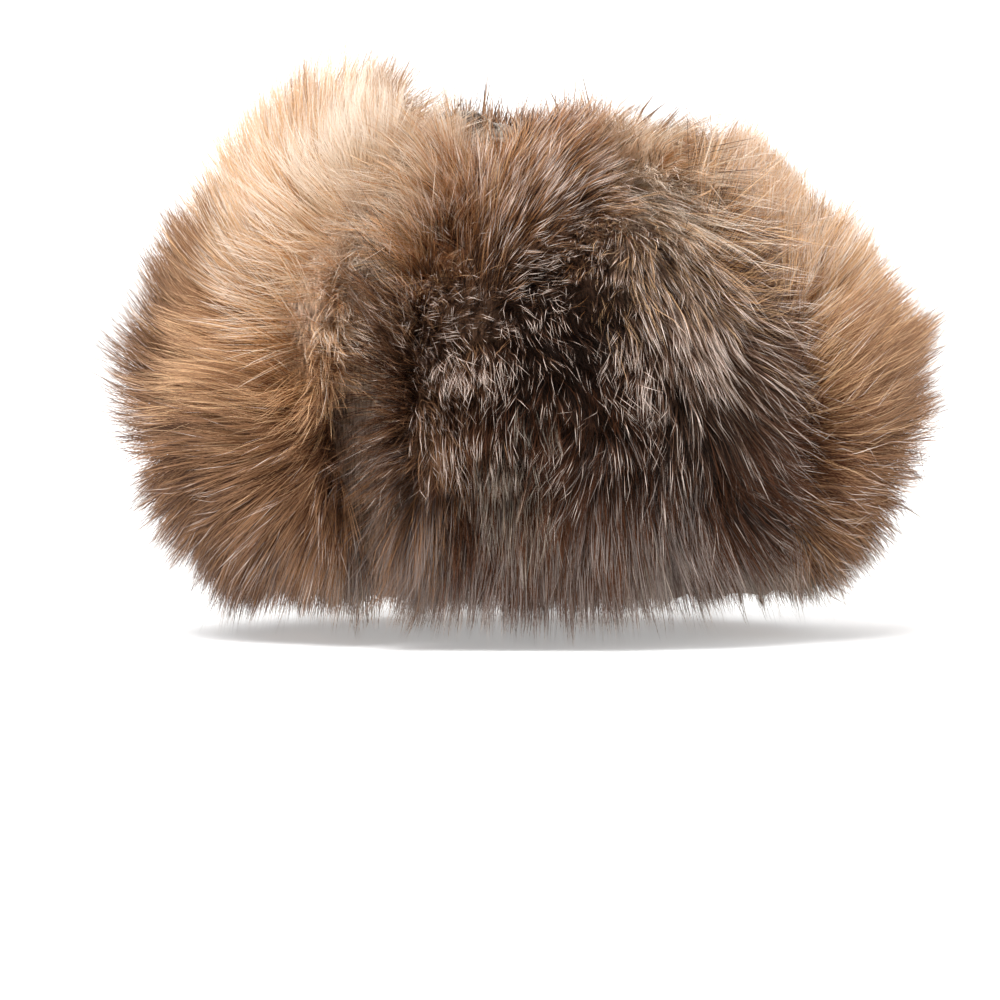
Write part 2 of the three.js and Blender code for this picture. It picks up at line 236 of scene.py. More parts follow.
# %% the comb table
# angle, height in mm, lie, lift of the tips and ruffle of the tufts in degrees, length in mm, pelt,
# second pelt and its share, share of frosted hairs
# The pelts below are partly the fur's own colours and partly painted light from above: cream at the tops of
# the flaps and high on the right ear's side, where the key light falls, is in part painted highlight, and
# the darker pelts lower down are in part painted shade.
COMB = {
    "front_flap": [
        (-30, 196, 220, 0, 14, 32, "cream", "golden", 0.3, 0.0),
        (-18, 202, 228, -4, 16, 26, "amber", "golden", 0.4, 0.2),
        (-24, 188, 218, 0, 18, 38, "golden", "amber", 0.5, 0.15),
        # painted highlight in part: cream and golden high on the front's side towards the right ear, where
        # the key light falls
        (-36, 178, 212, 2, 14, 52, "cream", "golden", 0.25, 0.0),
        (-37, 154, 205, 0, 14, 54, "golden", "cream", 0.35, 0.0),
        (-35, 124, 215, 0, 16, 54, "tawny", "sable", 0.5, 0.15),
        (-36, 94, 222, 0, 16, 54, "tawny", "russet", 0.4, 0.1),
        (-29, 150, 222, 4, 20, 44, "golden", "amber", 0.5, 0.2),
        (-20, 174, 228, 4, 24, 38, "amber", "tawny", 0.4, 0.35),
        (-25, 124, 236, 6, 24, 40, "tawny", "sable", 0.4, 0.55),
        (-7, 206, 62, 18, 16, 46, "amber", "sable", 0.4, 0.35),
        (1, 208, 50, 14, 16, 38, "amber", "golden", 0.4, 0.3),
        (13, 204, 20, -6, 12, 32, "cream", "golden", 0.4, 0.05),
        (-10, 184, 75, 6, 26, 36, "amber", "sable", 0.15, 0.35),
        (-13, 166, 100, 10, 34, 34, "sable", "amber", 0.4, 0.4),
        (-1, 168, 60, 8, 26, 36, "sable", "amber", 0.4, 0.45),
        (5, 186, 36, 4, 18, 40, "golden", "amber", 0.3, 0.25),
        (17, 188, -5, -16, 12, 46, "cream", "golden", 0.2, 0.05),
        (27, 184, -45, -22, 14, 50, "cream", "golden", 0.25, 0.1),
        (35, 154, -55, -22, 10, 54, "golden", "tawny", 0.3, 0.15),
        (24, 160, -52, -22, 10, 52, "taupe", "golden", 0.4, 0.3),
        (12, 160, -18, -10, 14, 46, "taupe", "golden", 0.35, 0.35),
        (16, 138, -56, -18, 12, 46, "taupe", "sable", 0.5, 0.4),
        (11, 118, -62, -8, 16, 42, "umber", "sable", 0.5, 0.26),
        (30, 116, -62, -22, 9, 54, "sable", "umber", 0.3, 0.15),
        (2, 146, 40, 8, 34, 34, "umber", "sable", 0.3, 0.22),
        (1, 126, -40, 14, 40, 32, "umber", "umber", 0.0, 0.09),
        (-9, 140, 130, 12, 40, 34, "umber", "sable", 0.1, 0.16),
        (-9, 112, -100, 12, 36, 34, "umber", "russet", 0.1, 0.1),
        (3, 106, -80, 12, 36, 32, "umber", "russet", 0.2, 0.11),
        (16, 98, -54, -10, 16, 44, "umber", "sable", 0.2, 0.09),
        (32, 90, -56, -16, 12, 50, "russet", "umber", 0.3, 0.1),
        (31, 66, -60, -12, 12, 48, "russet", "smoke", 0.3, 0.05),
        (21, 72, -66, -6, 16, 44, "umber", "russet", 0.4, 0.05),
        (8, 80, -100, 4, 24, 38, "umber", "russet", 0.4, 0.08),
        (-5, 86, -112, 4, 24, 38, "russet", "umber", 0.5, 0.12),
        (-16, 92, -75, 6, 28, 38, "russet", "umber", 0.4, 0.13),
        (-24, 106, -62, 6, 26, 38, "tawny", "sable", 0.5, 0.4),
        (-29, 80, -85, 6, 20, 40, "russet", "tawny", 0.5, 0.14),
        (-19, 132, -50, 8, 30, 38, "tawny", "sable", 0.4, 0.55),
        (-36, 58, 235, 0, 16, 50, "tawny", "smoke", 0.4, 0.0),
        (-36, 34, -102, 14, 10, 46, "smoke", "taupe", 0.3, 0.0),
        (-28, 58, -92, 10, 12, 38, "tawny", "smoke", 0.5, 0.0),
        (-12.5, 66, -90, 12, 16, 18, "ash", "taupe", 0.3, 0.0),
        (-12, 52, -90, 8, 12, 30, "russet", "smoke", 0.25, 0.0),
        (-19, 60, -90, 8, 12, 38, "russet", "umber", 0.3, 0.0),
        (4, 58, -90, 8, 12, 38, "russet", "smoke", 0.35, 0.0),
        (20, 52, -86, 8, 12, 36, "russet", "smoke", 0.5, 0.0),
        (-26, 30, -90, 18, 9, 42, "smoke", "taupe", 0.25, 0.0),
        (-12, 32, -90, 18, 8, 44, "smoke", "russet", 0.3, 0.0),
        (0, 32, -90, 18, 8, 44, "smoke", "sable", 0.3, 0.0),
        (14, 30, -88, 18, 8, 44, "smoke", "ash", 0.25, 0.0),
        (33, 30, -80, 14, 10, 44, "ash", "smoke", 0.5, 0.0),
        (0, 4, -90, 10, 8, 12, "smoke", "russet", 0.1, 0.0),
    ],
    "ear_flap_right": [
        # painted highlight in part: cream and golden high on this flap, where the key light falls
        (-42, 206, 110, -6, 14, 24, "cream", "golden", 0.1, 0.0),
        (-54, 198, 108, 6, 14, 42, "cream", "golden", 0.2, 0.0),
        (-44, 178, 150, 6, 12, 42, "cream", "golden", 0.2, 0.0),
        (-61, 164, 120, 4, 14, 46, "golden", "cream", 0.4, 0.0),
        (-55, 148, 165, 8, 16, 48, "cream", "golden", 0.35, 0.0),
        (-46, 138, 190, 14, 12, 48, "golden", "cream", 0.5, 0.0),
        (-73, 128, 140, 2, 18, 46, "tawny", "golden", 0.05, 0.0),
        (-82, 104, 160, 6, 18, 54, "tawny", "sable", 0.25, 0.05),
        (-57, 110, 195, 6, 16, 48, "golden", "tawny", 0.45, 0.0),
        (-46, 104, 210, 18, 12, 48, "golden", "tawny", 0.3, 0.0),
        (-73, 76, 185, 4, 18, 54, "sable", "tawny", 0.45, 0.1),
        (-53, 76, 185, 4, 14, 48, "tawny", "sable", 0.25, 0.05),
        (-44, 66, 225, 16, 12, 46, "tawny", "russet", 0.4, 0.05),
        (-66, 48, 205, 6, 14, 56, "tawny", "sable", 0.65, 0.08),
        (-55, 44, 218, 8, 14, 44, "tawny", "sable", 0.4, 0.05),
        (-47, 40, 235, 10, 12, 38, "tawny", "taupe", 0.5, 0.0),
        (-53, 22, 240, 18, 12, 34, "smoke", "tawny", 0.35, 0.0),
        (-43, 26, 262, 14, 10, 44, "smoke", "ash", 0.3, 0.0),
        (-82, 24, 215, 14, 12, 38, "smoke", "tawny", 0.4, 0.0),
        (-60, 4, 250, 10, 10, 12, "smoke", "tawny", 0.4, 0.0),
        (-90, 204, 105, 14, 14, 56, "cream", "golden", 0.5, 0.0),
        (-98, 172, 120, 8, 18, 46, "golden", "cream", 0.4, 0.0),
        (-100, 142, 150, 4, 18, 42, "golden", "tawny", 0.5, 0.05),
        (-100, 80, 185, 8, 14, 56, "tawny", "sable", 0.3, 0.05),
        (-100, 28, 215, 12, 14, 34, "sable", "taupe", 0.4, 0.05),
        (-128, 190, 120, 6, 14, 44, "golden", "tawny", 0.5, 0.1),
        (-128, 130, 175, 6, 14, 48, "tawny", "golden", 0.4, 0.15),
        (-128, 70, 205, 4, 14, 48, "tawny", "sable", 0.5, 0.2),
        (-128, 26, 240, 16, 10, 30, "taupe", "sable", 0.3, 0.05),
    ],
    "ear_flap_left": [
        (41, 205, 60, 2, 14, 28, "cream", "golden", 0.5, 0.0),
        (55, 206, 90, 2, 16, 25, "cream", "golden", 0.5, 0.0),
        (50, 192, 20, 4, 14, 38, "cream", "golden", 0.4, 0.0),
        (51, 164, -10, 4, 14, 46, "cream", "golden", 0.5, 0.0),
        (44, 140, -40, 0, 14, 46, "golden", "cream", 0.4, 0.05),
        (64, 160, 50, -4, 18, 32, "golden", "tawny", 0.5, 0.0),
        (62, 124, 35, 6, 18, 50, "tawny", "golden", 0.5, 0.0),
        (47, 116, -40, 6, 16, 50, "golden", "tawny", 0.4, 0.05),
        (53, 98, 15, 6, 18, 48, "tawny", "golden", 0.5, 0.0),
        (66, 88, 25, 6, 20, 52, "tawny", "sable", 0.3, 0.0),
        (49, 80, -30, 4, 16, 48, "tawny", "golden", 0.4, 0.0),
        (57, 68, -8, 4, 20, 50, "tawny", "sable", 0.4, 0.0),
        (45, 66, -30, 4, 14, 46, "russet", "tawny", 0.5, 0.1),
        (57, 50, -25, 2, 18, 48, "tawny", "russet", 0.5, 0.0),
        (47, 44, -45, 8, 14, 40, "sable", "tawny", 0.5, 0.1),
        (43, 26, -78, 14, 12, 44, "ash", "smoke", 0.5, 0.0),
        (62, 24, -50, 12, 14, 30, "taupe", "ash", 0.5, 0.0),
        (50, 4, -80, 10, 10, 12, "ash", "smoke", 0.5, 0.0),
        (88, 196, 80, -6, 20, 20, "golden", "tawny", 0.4, 0.0),
        (90, 166, 60, -10, 20, 27, "golden", "tawny", 0.4, 0.0),
        (90, 136, 35, -4, 22, 34, "golden", "tawny", 0.5, 0.0),
        (95, 75, -5, 4, 14, 50, "tawny", "golden", 0.4, 0.05),
        (95, 28, -30, 12, 16, 27, "sable", "taupe", 0.4, 0.05),
        (128, 190, 60, 6, 14, 44, "golden", "tawny", 0.5, 0.1),
        (128, 130, 5, 6, 14, 48, "tawny", "golden", 0.4, 0.15),
        (128, 70, -25, 4, 14, 48, "tawny", "sable", 0.5, 0.2),
        (128, 26, -60, 16, 10, 30, "taupe", "sable", 0.3, 0.05),
    ],
    "neck_flap": [
        (145, 195, 75, 8, 14, 44, "golden", "tawny", 0.5, 0.1),
        (180, 200, 90, 10, 16, 42, "sable", "tawny", 0.5, 0.3),
        (215, 195, 105, 8, 14, 44, "golden", "tawny", 0.5, 0.1),
        (142, 140, 5, 6, 14, 50, "golden", "tawny", 0.5, 0.15),
        (155, 135, -40, 6, 14, 48, "tawny", "sable", 0.5, 0.25),
        (180, 150, -80, 8, 16, 46, "sable", "umber", 0.4, 0.35),
        (218, 140, 175, 6, 14, 50, "golden", "tawny", 0.5, 0.15),
        (205, 135, 220, 6, 14, 48, "tawny", "sable", 0.5, 0.25),
        (142, 80, -30, 4, 12, 50, "tawny", "sable", 0.3, 0.15),
        (158, 80, -70, 4, 12, 50, "sable", "tawny", 0.4, 0.3),
        (180, 80, -90, 4, 12, 50, "sable", "umber", 0.3, 0.35),
        (218, 80, 210, 4, 12, 50, "tawny", "sable", 0.3, 0.15),
        (202, 80, 250, 4, 12, 50, "sable", "tawny", 0.4, 0.3),
        (150, 30, -85, 16, 8, 32, "taupe", "russet", 0.2, 0.0),
        (180, 30, -90, 16, 8, 32, "taupe", "russet", 0.2, 0.0),
        (210, 30, 265, 16, 8, 32, "taupe", "russet", 0.2, 0.0),
        (180, 4, -90, 10, 8, 12, "taupe", "russet", 0.2, 0.0),
    ],
}
# how far a row of the table reaches, in mm, for the lie and for the pelt, and the fur's mm for each
# degree
LIE_REACH, PELT_REACH = 16.0, 10.0
MM_PER_DEGREE = 2.6


def combed(name, angle, height):
    """Blends the strokes by exp(-d^2 / 2r^2), d the distance in mm: lie as a unit pair, lift, ruffle,
    length, the share of each pelt, and how far the strokes run apart there, from 0 to 1."""
    rows = COMB[name]
    place = np.array([(r[0] * MM_PER_DEGREE, r[1]) for r in rows])
    here = np.stack([angle * MM_PER_DEGREE, height], -1)
    apart = ((here[:, None] - place[None]) ** 2).sum(-1)
    apart -= apart.min(1, keepdims=True)
    lie_weight = np.exp(-apart / (2 * LIE_REACH**2))
    lie_weight /= lie_weight.sum(1, keepdims=True)
    pelt_weight = np.exp(-apart / (2 * PELT_REACH**2))
    pelt_weight /= pelt_weight.sum(1, keepdims=True)
    lie = np.radians([r[2] for r in rows])
    values = np.stack([np.cos(lie), np.sin(lie), *([r[i] for r in rows] for i in (3, 4, 5))], 1)
    shares = np.zeros((len(rows), len(PELT_NAMES)))
    for i, (pelt, second, share, frost) in enumerate(r[6:] for r in rows):
        shares[i, PELT_NAMES.index(pelt)] += (1 - share) * (1 - frost)
        shares[i, PELT_NAMES.index(second)] += share * (1 - frost)
        shares[i, PELT_NAMES.index("frost")] += frost
    blended = lie_weight @ values
    parting = 1 - np.linalg.norm(blended[:, :2], axis=1)
    return unit(blended[:, :2]), blended[:, 2], blended[:, 3], blended[:, 4], pelt_weight @ shares, parting


print("comb strokes:", {name: len(rows) for name, rows in COMB.items()})

# %% [markdown]
# Where the hat is seen from the front, its hair is also combed by strokes, as arrows are drawn over a
# picture. Each stroke is a place on the picture, in mm from its middle, and the way that the tips point
# there. They say how the hair parts over the forehead and sweeps down to the right of it, how it curls
# round on the left, and where the ear flaps' tufts point up and out. The guide for them was the hair's
# direction in the photograph, measured over squares of 20 mm, so they stand at about the middles of
# those squares. About one in five still points within 5 degrees of that direction. The others differ
# more, because they were set or changed one by one. A hair's lie on the hide is then worked out from
# how it should look.

# %% strokes on the picture
# right and up from the picture's middle in mm, direction of the tips in degrees
STROKES = np.array(
    [
        (-90, 150, 98), (-70, 152, 90), (-52, 146, 84), (-114, 132, 112), (-90, 128, 110),
        (-70, 127, 124), (-48, 132, 218), (-30, 135, 222), (-10, 132, 75), (10, 134, 58), (31, 130, 36),
        (50, 130, 12), (70, 128, -14), (90, 130, -32), (112, 134, 85), (-134, 110, 116),
        (-112, 107, 114), (-92, 108, 135), (-80, 107, 182), (-68, 106, 228), (-50, 110, 230),
        (-31, 108, 242), (-8, 112, 62), (10, 112, 28), (30, 108, -30), (52, 110, -52), (80, 108, -72),
        (112, 110, 88), (-150, 90, 120), (-130, 92, 145), (-110, 88, 142), (-97, 92, 155),
        (-84, 88, 232), (-70, 90, 256), (-50, 90, 248), (-30, 88, -65), (-10, 94, 60), (10, 88, -50),
        (40, 88, -57), (68, 90, -74), (92, 88, -72), (111, 90, 48), (131, 92, 60), (-168, 68, 128),
        (-148, 70, 130), (-128, 70, 166), (-102, 70, 150), (-84, 72, -58), (-66, 68, -47),
        (-42, 70, -34), (-10, 70, -80), (12, 70, -64), (52, 68, -68), (84, 70, -74), (112, 70, 5),
        (134, 70, 36), (-168, 46, 142), (-134, 50, 172), (-106, 48, 158), (-72, 48, -62), (-50, 50, -36),
        (-30, 50, -86), (0, 50, -108), (30, 50, -75), (62, 48, -73), (92, 50, -75), (112, 50, -36),
        (132, 50, 32), (152, 50, 38), (-160, 28, 164), (-124, 30, 178), (-92, 30, 172), (-72, 28, 242),
        (-50, 30, -84), (-30, 30, -100), (2, 30, -110), (30, 30, -92), (60, 30, -74), (90, 30, -82),
        (112, 30, -44), (136, 30, 4), (156, 30, 18), (-158, 8, 196), (-126, 10, 194), (-90, 8, 198),
        (-70, 8, 250), (-46, 10, -82), (-12, 10, -110), (26, 10, -106), (58, 10, -86), (90, 10, -86),
        (112, 10, -46), (142, 10, -2), (-142, -12, 212), (-108, -12, 222), (-84, -14, 246),
        (-50, -12, -88), (0, -12, -94), (46, -12, -96), (72, -12, -78), (92, -12, -70), (124, -12, -24),
        (-122, -32, 236), (-94, -32, 256), (-40, -34, -88), (20, -34, -93), (72, -32, -70),
        (104, -32, -52),
    ],
    float,
)
# how far a stroke reaches, and how far on from its root a hair shows, in mm
STROKE_REACH, STROKE_AHEAD = 11.0, 16.0
# the camera: azimuth and elevation, then its distance and the frame's width in metres
AZIMUTH, ELEVATION = math.radians(-8.0), math.radians(2.0)
DISTANCE, FRAME_WIDTH = 2.6, 0.4
CAMERA_RIGHT = np.array([math.cos(AZIMUTH), math.sin(AZIMUTH), 0.0])
CAMERA_BACK = np.array(
    [
        math.sin(AZIMUTH) * math.cos(ELEVATION),
        -math.cos(AZIMUTH) * math.cos(ELEVATION),
        math.sin(ELEVATION),
    ]
)
CAMERA_UP = np.cross(CAMERA_BACK, CAMERA_RIGHT)
# the point that the camera looks at, in metres
TARGET = CAMERA_RIGHT * -0.0104 + np.array([0.0, 0.0, 0.053])


def stroke_weights(place):
    """Weights exp(-d^2 / 2r^2) of the strokes at places on the picture, made to add up to 1."""
    apart = ((place[:, None] - STROKES[None, :, :2]) ** 2).sum(-1)
    weight = np.exp(-(apart - apart.min(1, keepdims=True)) / (2 * STROKE_REACH**2))
    return weight / weight.sum(1, keepdims=True)


def picture_strokes(point, out):
    """For places on the fur: the direction on the picture of the hair that grows there, how far the
    strokes run apart, and how much the place faces the camera. A hair shows some 16 mm on from its
    root, so the strokes are read there. On the picture things grow by distance / (distance - depth)."""
    from_target = point - TARGET / MM
    nearer = DISTANCE / (DISTANCE - from_target @ CAMERA_BACK * MM)
    place = np.stack([from_target @ CAMERA_RIGHT, from_target @ CAMERA_UP], -1) * nearer[:, None]
    ways = np.stack([np.cos(np.radians(STROKES[:, 2])), np.sin(np.radians(STROKES[:, 2]))], -1)
    first = stroke_weights(place) @ ways
    blended = stroke_weights(place + STROKE_AHEAD * first) @ ways
    facing = np.clip((out @ CAMERA_BACK + 0.2) / 0.3, 0, 1)
    return unit(blended), 0.6 - 0.6 * np.linalg.norm(blended, axis=1), facing


def lie_on_hide(way, out, side, up, lean):
    """The lie whose hairs look as if they point along `way` on the picture. With n the picture's
    direction across `way`, it solves cos(lean) (cos(lie) side.n + sin(lie) up.n) + sin(lean) out.n = 0
    and takes the root that points along `way` rather than against it."""
    across = way[:, :1] * -CAMERA_UP + way[:, 1:] * CAMERA_RIGHT
    along = way[:, :1] * CAMERA_RIGHT + way[:, 1:] * CAMERA_UP
    flat, high = np.cos(np.radians(lean)), np.sin(np.radians(lean))
    a, b = flat * (side * across).sum(1), flat * (up * across).sum(1)
    size = np.maximum(np.hypot(a, b), 1e-6)
    base, swing = np.arctan2(b, a), np.arccos(np.clip(-high * (out * across).sum(1) / size, -1, 1))
    both = np.stack([base - swing, base + swing])
    forward = np.cos(both) * (side * along).sum(1) + np.sin(both) * (up * along).sum(1)
    lie = np.where(forward[0] > forward[1], both[0], both[1])
    return np.stack([np.cos(lie), np.sin(lie)], -1)


print("strokes on the picture:", len(STROKES))

# %% [markdown]
# Fur doesn't grow evenly: a few hairs lean together into a pointed wisp, wisps into clumps and clumps
# into tufts. So tufts, clumps and wisps are grown as paths, each leaning in to the nearest of the set
# before, and then the hairs of the wisps. A hair leaves the hide steeply and bends over in the way that
# the fur is combed. Two in three are underfur, which is shorter, and the rest are guard hairs.

# %% paths of hairs
# a path is summed in fifteen steps, and four of its points are kept
STEPS = 15
KEPT = (0, 6, 11, 15)
SHARES = np.array(KEPT) / STEPS
# the radius at which the hide rounds away under a hair, in mm
ROUNDNESS = 150.0
# lean over the hide at the root and at the tip, in degrees
STEEP, LOW = 66.0, 43.0
# rows of the section: where hair starts, where the fringe hangs, grows denser and is calmer, and the
# top edge
FIRST_ROW, HANG_ROW, DENSE_BELOW_ROW, CALM_BELOW_ROW, EDGE_ROW = 1.4, 3.9, 3.6, 3.5, 12.2
# how many times as densely the fringe grows, and the hair behind the ears
DENSE_FRINGE, SPARSE_BEHIND = 1.7, 0.6
# the box that the hair stays in, in mm
BOX_LOW, BOX_TOP = np.array([-184.0, -179.0, 0.0]), np.array([184.0, 179.0, 243.0])


def patches(place, size, seed):
    """Noise from 0 to 1 over places on a flap, both in mm, with patches of one size."""
    return smooth_noise(place[0] / size, place[1] / size, seed)


def hair_depth(name, across, row):
    """How deep the roots lie under the outline. The front's upper edge is lower beside the knot and
    again right of its middle, by bell-shaped dents exp(-d^2), and the roots of its fringe lie
    deeper."""
    depth = section(row)[..., 3]
    if name != "front_flap":
        return depth
    angle = across * FLAPS[name][1]
    dent = np.exp(-(((angle + 21) / 9) ** 2)) * np.clip((row - 8) / 2.5, 0, 1)
    lower = np.exp(-(((angle - 17) / 7) ** 2)) * np.clip((row - 8.5) / 2.5, 0, 1)
    fringe = np.clip(3.3 - row, 0, 1)
    return depth + 13 * dent + 5 * lower + 8 * fringe


def behind(angle):
    """True past the ears, from 96 degrees round."""
    return np.cos(np.radians(angle)) < -0.1


def even_roots(name, count, rng):
    """Places on a flap drawn evenly by area: each try is kept with a chance equal to its area against
    the most. Behind the ears, where the hair is drawn coarser, fewer are kept, and in the lower fringe
    more."""
    middle, spread = FLAPS[name][:2]
    across = rng.uniform(-1, 1, count * 6)
    row = rng.uniform(FIRST_ROW, LAST_ROW, count * 6)
    pace = fur_frame(name, across, row)[4]
    area = pace[0] * pace[1]
    area = area * np.where(behind(middle + across * spread), SPARSE_BEHIND, 1.0)
    area = area * np.where(row < DENSE_BELOW_ROW, DENSE_FRINGE, 1.0)
    kept = np.nonzero(rng.random(len(area)) < area / np.percentile(area, 98))[0][:count]
    return across[kept], row[kept]


def nearest(place, others):
    """For each place, which of the others is nearest: the least of |b|^2 - 2 a.b."""
    return ((others**2).sum(1)[None] - 2 * place @ others.T).argmin(1)


def curves(root, outward, side, up, lie, rise, settle, curl, length):
    """Paths of hairs. At share t of its length a hair leans at rise + (settle - rise) t^0.7 over the
    hide, which has itself turned away by t length / roundness, and it has turned sideways by curl t.
    The steps are summed."""
    t = ((np.arange(STEPS) + 0.5) / STEPS)[None, :, None]
    forward = lie[:, :1] * side + lie[:, 1:] * up
    sideways = np.cross(outward, forward)
    lean = np.radians(rise[:, None, None] + (settle - rise)[:, None, None] * t**0.7)
    lean = lean - t * length[:, None, None] / ROUNDNESS
    turn = np.radians(curl)[:, None, None] * t
    flat = np.cos(turn) * forward[:, None] + np.sin(turn) * sideways[:, None]
    way = np.cos(lean) * flat + np.sin(lean) * outward[:, None]
    path = np.cumsum(way * length[:, None, None] / STEPS, axis=1)
    path = np.concatenate([np.zeros_like(path[:, :1]), path], 1)
    return root[:, None] + path[:, KEPT]


def turned(lie, degrees):
    """Unit pairs turned by an angle each."""
    c, s = np.cos(np.radians(degrees)), np.sin(np.radians(degrees))
    return np.stack([lie[:, 0] * c - lie[:, 1] * s, lie[:, 0] * s + lie[:, 1] * c], -1)


def drawn_in(path, to_path, tight, spread):
    """Paths pulled to other paths by tight t^1.4, where they end beside them at a share of their roots'
    distance."""
    pull = (tight[:, None] * SHARES**1.4)[:, :, None]
    beside = (path[:, :1] - to_path[:, :1]) * spread
    return path * (1 - pull) + (to_path + beside) * pull


# %% [markdown]
# A set of paths is grown in one go. Roots are drawn evenly by area, the comb's lie, lift and length are
# read at each one, and chance is added to all of them, as no two hairs are alike. Where the strokes run
# apart the hair stands up, as it does at a whorl, and the lowest hair hangs down as a fringe. Real
# guard hair is about 0.1 mm thick. It is drawn twice as wide, so that it shows, and wider still over
# the neck, where fewer hairs have to cover the hide.

# %% growing paths on a flap
# tufts, clumps, wisps, hairs in a wisp, how far clumps lean in to tufts, a hair's width in mm, how
# uneven the locks are, and how much longer the hanging fringe is
GROWTH = {
    "front_flap": (230, 1100, 8150, 8, 0.5, 0.185, 0.36, 0.55),
    "ear_flap_right": (200, 800, 5850, 8, 0.5, 0.19, 0.36, 0.2),
    "ear_flap_left": (100, 800, 5850, 8, 1.0, 0.19, 0.42, 0.2),
    "neck_flap": (120, 400, 2450, 8, 0.4, 0.5, 0.36, 0.2),
}
# how far a hair has come on average on its way from its lean at the root to the one at the tip
MEAN_SETTLED = 0.62
# by how many degrees hair stands up and goes astray where strokes run apart, and at a flap's ends
PARTING_STANDS, END_STANDS = 45.0, 24.0
PARTING_STRAYS, END_STRAYS = 45.0, 14.0


def grown(name, count, uneven, wild, rng):
    """Paths at random places, as combed, each turned by its ruffle times `wild`. With them come their
    places, strengths and pelts, and how calm the comb is there, from 0 at a parting to 1."""
    middle, spread = FLAPS[name][:2]
    uneven_locks, longer_fringe = GROWTH[name][6:]
    across, row = even_roots(name, count, rng)
    point, out, side, up, pace = fur_frame(name, across, row)
    degrees = middle + across * spread
    lie, lift, ruffle, length, shares, parting = combed(name, degrees, point[:, 2])
    place = degrees * MM_PER_DEGREE, point[:, 2]
    swirl = patches(place, 24, 11) - 0.5
    swirl = swirl + 0.7 * (patches(place, 12, 12) - 0.5)
    locks = patches(place, 13, 13) - 0.5
    ends = across**4
    hang = np.clip(HANG_ROW - row, 0, 1)
    length = length * (1 + longer_fringe * hang)
    way, seen_parting, facing = picture_strokes(point, out)
    parting = parting * (1 - facing) + seen_parting * facing
    strength = np.clip(rng.normal(0.87, uneven, len(across)) + uneven_locks * locks, 0.5, 1.25)
    strength = strength * (1 + 0.3 * ends) * np.where(row > EDGE_ROW, 0.6, 1)
    rise = STEEP + np.minimum(lift, 0) + rng.normal(0, 5, len(across))
    settle = LOW + lift + PARTING_STANDS * parting + END_STANDS * ends + rng.normal(0, 7, len(across))
    rounded = np.degrees(length * strength / ROUNDNESS)
    lean = (1 - MEAN_SETTLED) * rise + MEAN_SETTLED * settle - 0.5 * rounded
    seen = lie_on_hide(way, out, side, up, lean)
    lie = unit(lie * (1 - facing[:, None]) + seen * facing[:, None])
    strays = 0.5 * ruffle + PARTING_STRAYS * parting + END_STRAYS * ends
    astray = rng.normal(0, wild, len(across)) * strays
    lie = turned(lie, 2.2 * ruffle * swirl + astray)
    curl = rng.normal(0, 14, len(across))
    root = point - out * hair_depth(name, across, row)[:, None]
    path = curves(root, out, side, up, lie, rise, settle, curl, length * strength)
    hang = 0.85 * hang[:, None, None]
    down = unit(out * [0.35, 0.35, 0] + rng.normal(0, 0.12, out.shape) - [0, 0, 1])
    hanging = root[:, None] + (down * (length * strength)[:, None])[:, None] * SHARES[None, :, None]
    path = path * (1 - hang) + hanging * hang
    return path, across, row, pace, strength, shares, 1 - np.minimum(1, 2 * parting)


def grown_wisps(name, rng):
    """The wisps of a flap, drawn in to clumps that are drawn in to tufts, with their places, strengths
    and pelts."""
    tufts, clumps, wisps, _, lean_in = GROWTH[name][:5]
    tuft = grown(name, tufts, 0.1, 1.0, rng)[0]
    clump, *_, calm = grown(name, clumps, 0.08, 1.0, rng)
    tight = rng.uniform(0.4, 1.4, len(clump)) * lean_in * calm
    clump = drawn_in(clump, tuft[nearest(clump[:, 0], tuft[:, 0])], tight, 0.4)
    wisp, across, row, pace, strength, shares, calm = grown(name, wisps, 0.12, 1.5, rng)
    tight = rng.uniform(0.15, 0.75, len(wisp)) * calm
    wisp = drawn_in(wisp, clump[nearest(wisp[:, 0], clump[:, 0])], tight, 0.3)
    return wisp, across, row, pace, strength, shares


print("hairs to grow:", {name: wisps * each for name, (_, _, wisps, each, *_) in GROWTH.items()})

# %% [markdown]
# Eight hairs share a wisp. Each one has its root near the wisp's and follows its path, a little shorter
# or longer, bent by chance and drawn in to it. A few guard hairs are strays, which keep to themselves
# and stand out a little.

# %% the hairs of the wisps
# a hair's root lies about this far from its wisp's, in mm
ROOTS_APART = 1.9
# the share of guard hairs among all, and of strays among guard hairs
GUARD_SHARE, STRAY_SHARE = 0.34, 0.15


def hairs_of(name, wisp, across, row, pace, of, rng):
    """For each hair, whose wisp is number `of`: its path, the outward direction, its place on the flap,
    whether it is a guard hair, and its strength against the wisp's."""
    total = len(of)
    off = rng.normal(0, ROOTS_APART, (total, 2))
    hair_across = np.clip(across[of] + off[:, 0] / pace[0][of], -1.02, 1.02)
    hair_row = np.clip(row[of] + off[:, 1] / pace[1][of], 0, LAST_ROW)
    point, out = fur_frame(name, hair_across, hair_row)[:2]
    depth = hair_depth(name, hair_across, hair_row) + rng.uniform(-1, 2, total)
    root = point - out * depth[:, None]
    guard = rng.random(total) < GUARD_SHARE
    stray = guard & (rng.random(total) < STRAY_SHARE)
    strength = np.where(guard, rng.uniform(0.88, 1.06, total), rng.uniform(0.6, 0.94, total))
    strength = strength + stray * rng.uniform(0, 0.08, total)
    path = (wisp[of] - wisp[of, :1]) * strength[:, None, None]
    size = np.linalg.norm(path[:, -1], axis=-1, keepdims=True)
    loose = unit(rng.normal(0, 1, (total, 3)))
    bend = np.abs(rng.normal(0, 0.1, total)) + stray * rng.uniform(0, 0.2, total)
    path = root[:, None] + path + (loose * size * bend[:, None])[:, None] * (SHARES**1.3)[None, :, None]
    tight = rng.uniform(0.2, 0.9, len(wisp))[of] * np.where(stray, 0, 1)
    path = drawn_in(path, wisp[of], tight * strength, 0.2)
    return path, out, hair_across, hair_row, guard, strength


# %% [markdown]
# The fringe of a worn hat ends in a ragged hem some 15 mm above the table. A hair that would end below
# the hem is made smaller, rather than cut, so that it keeps its point.

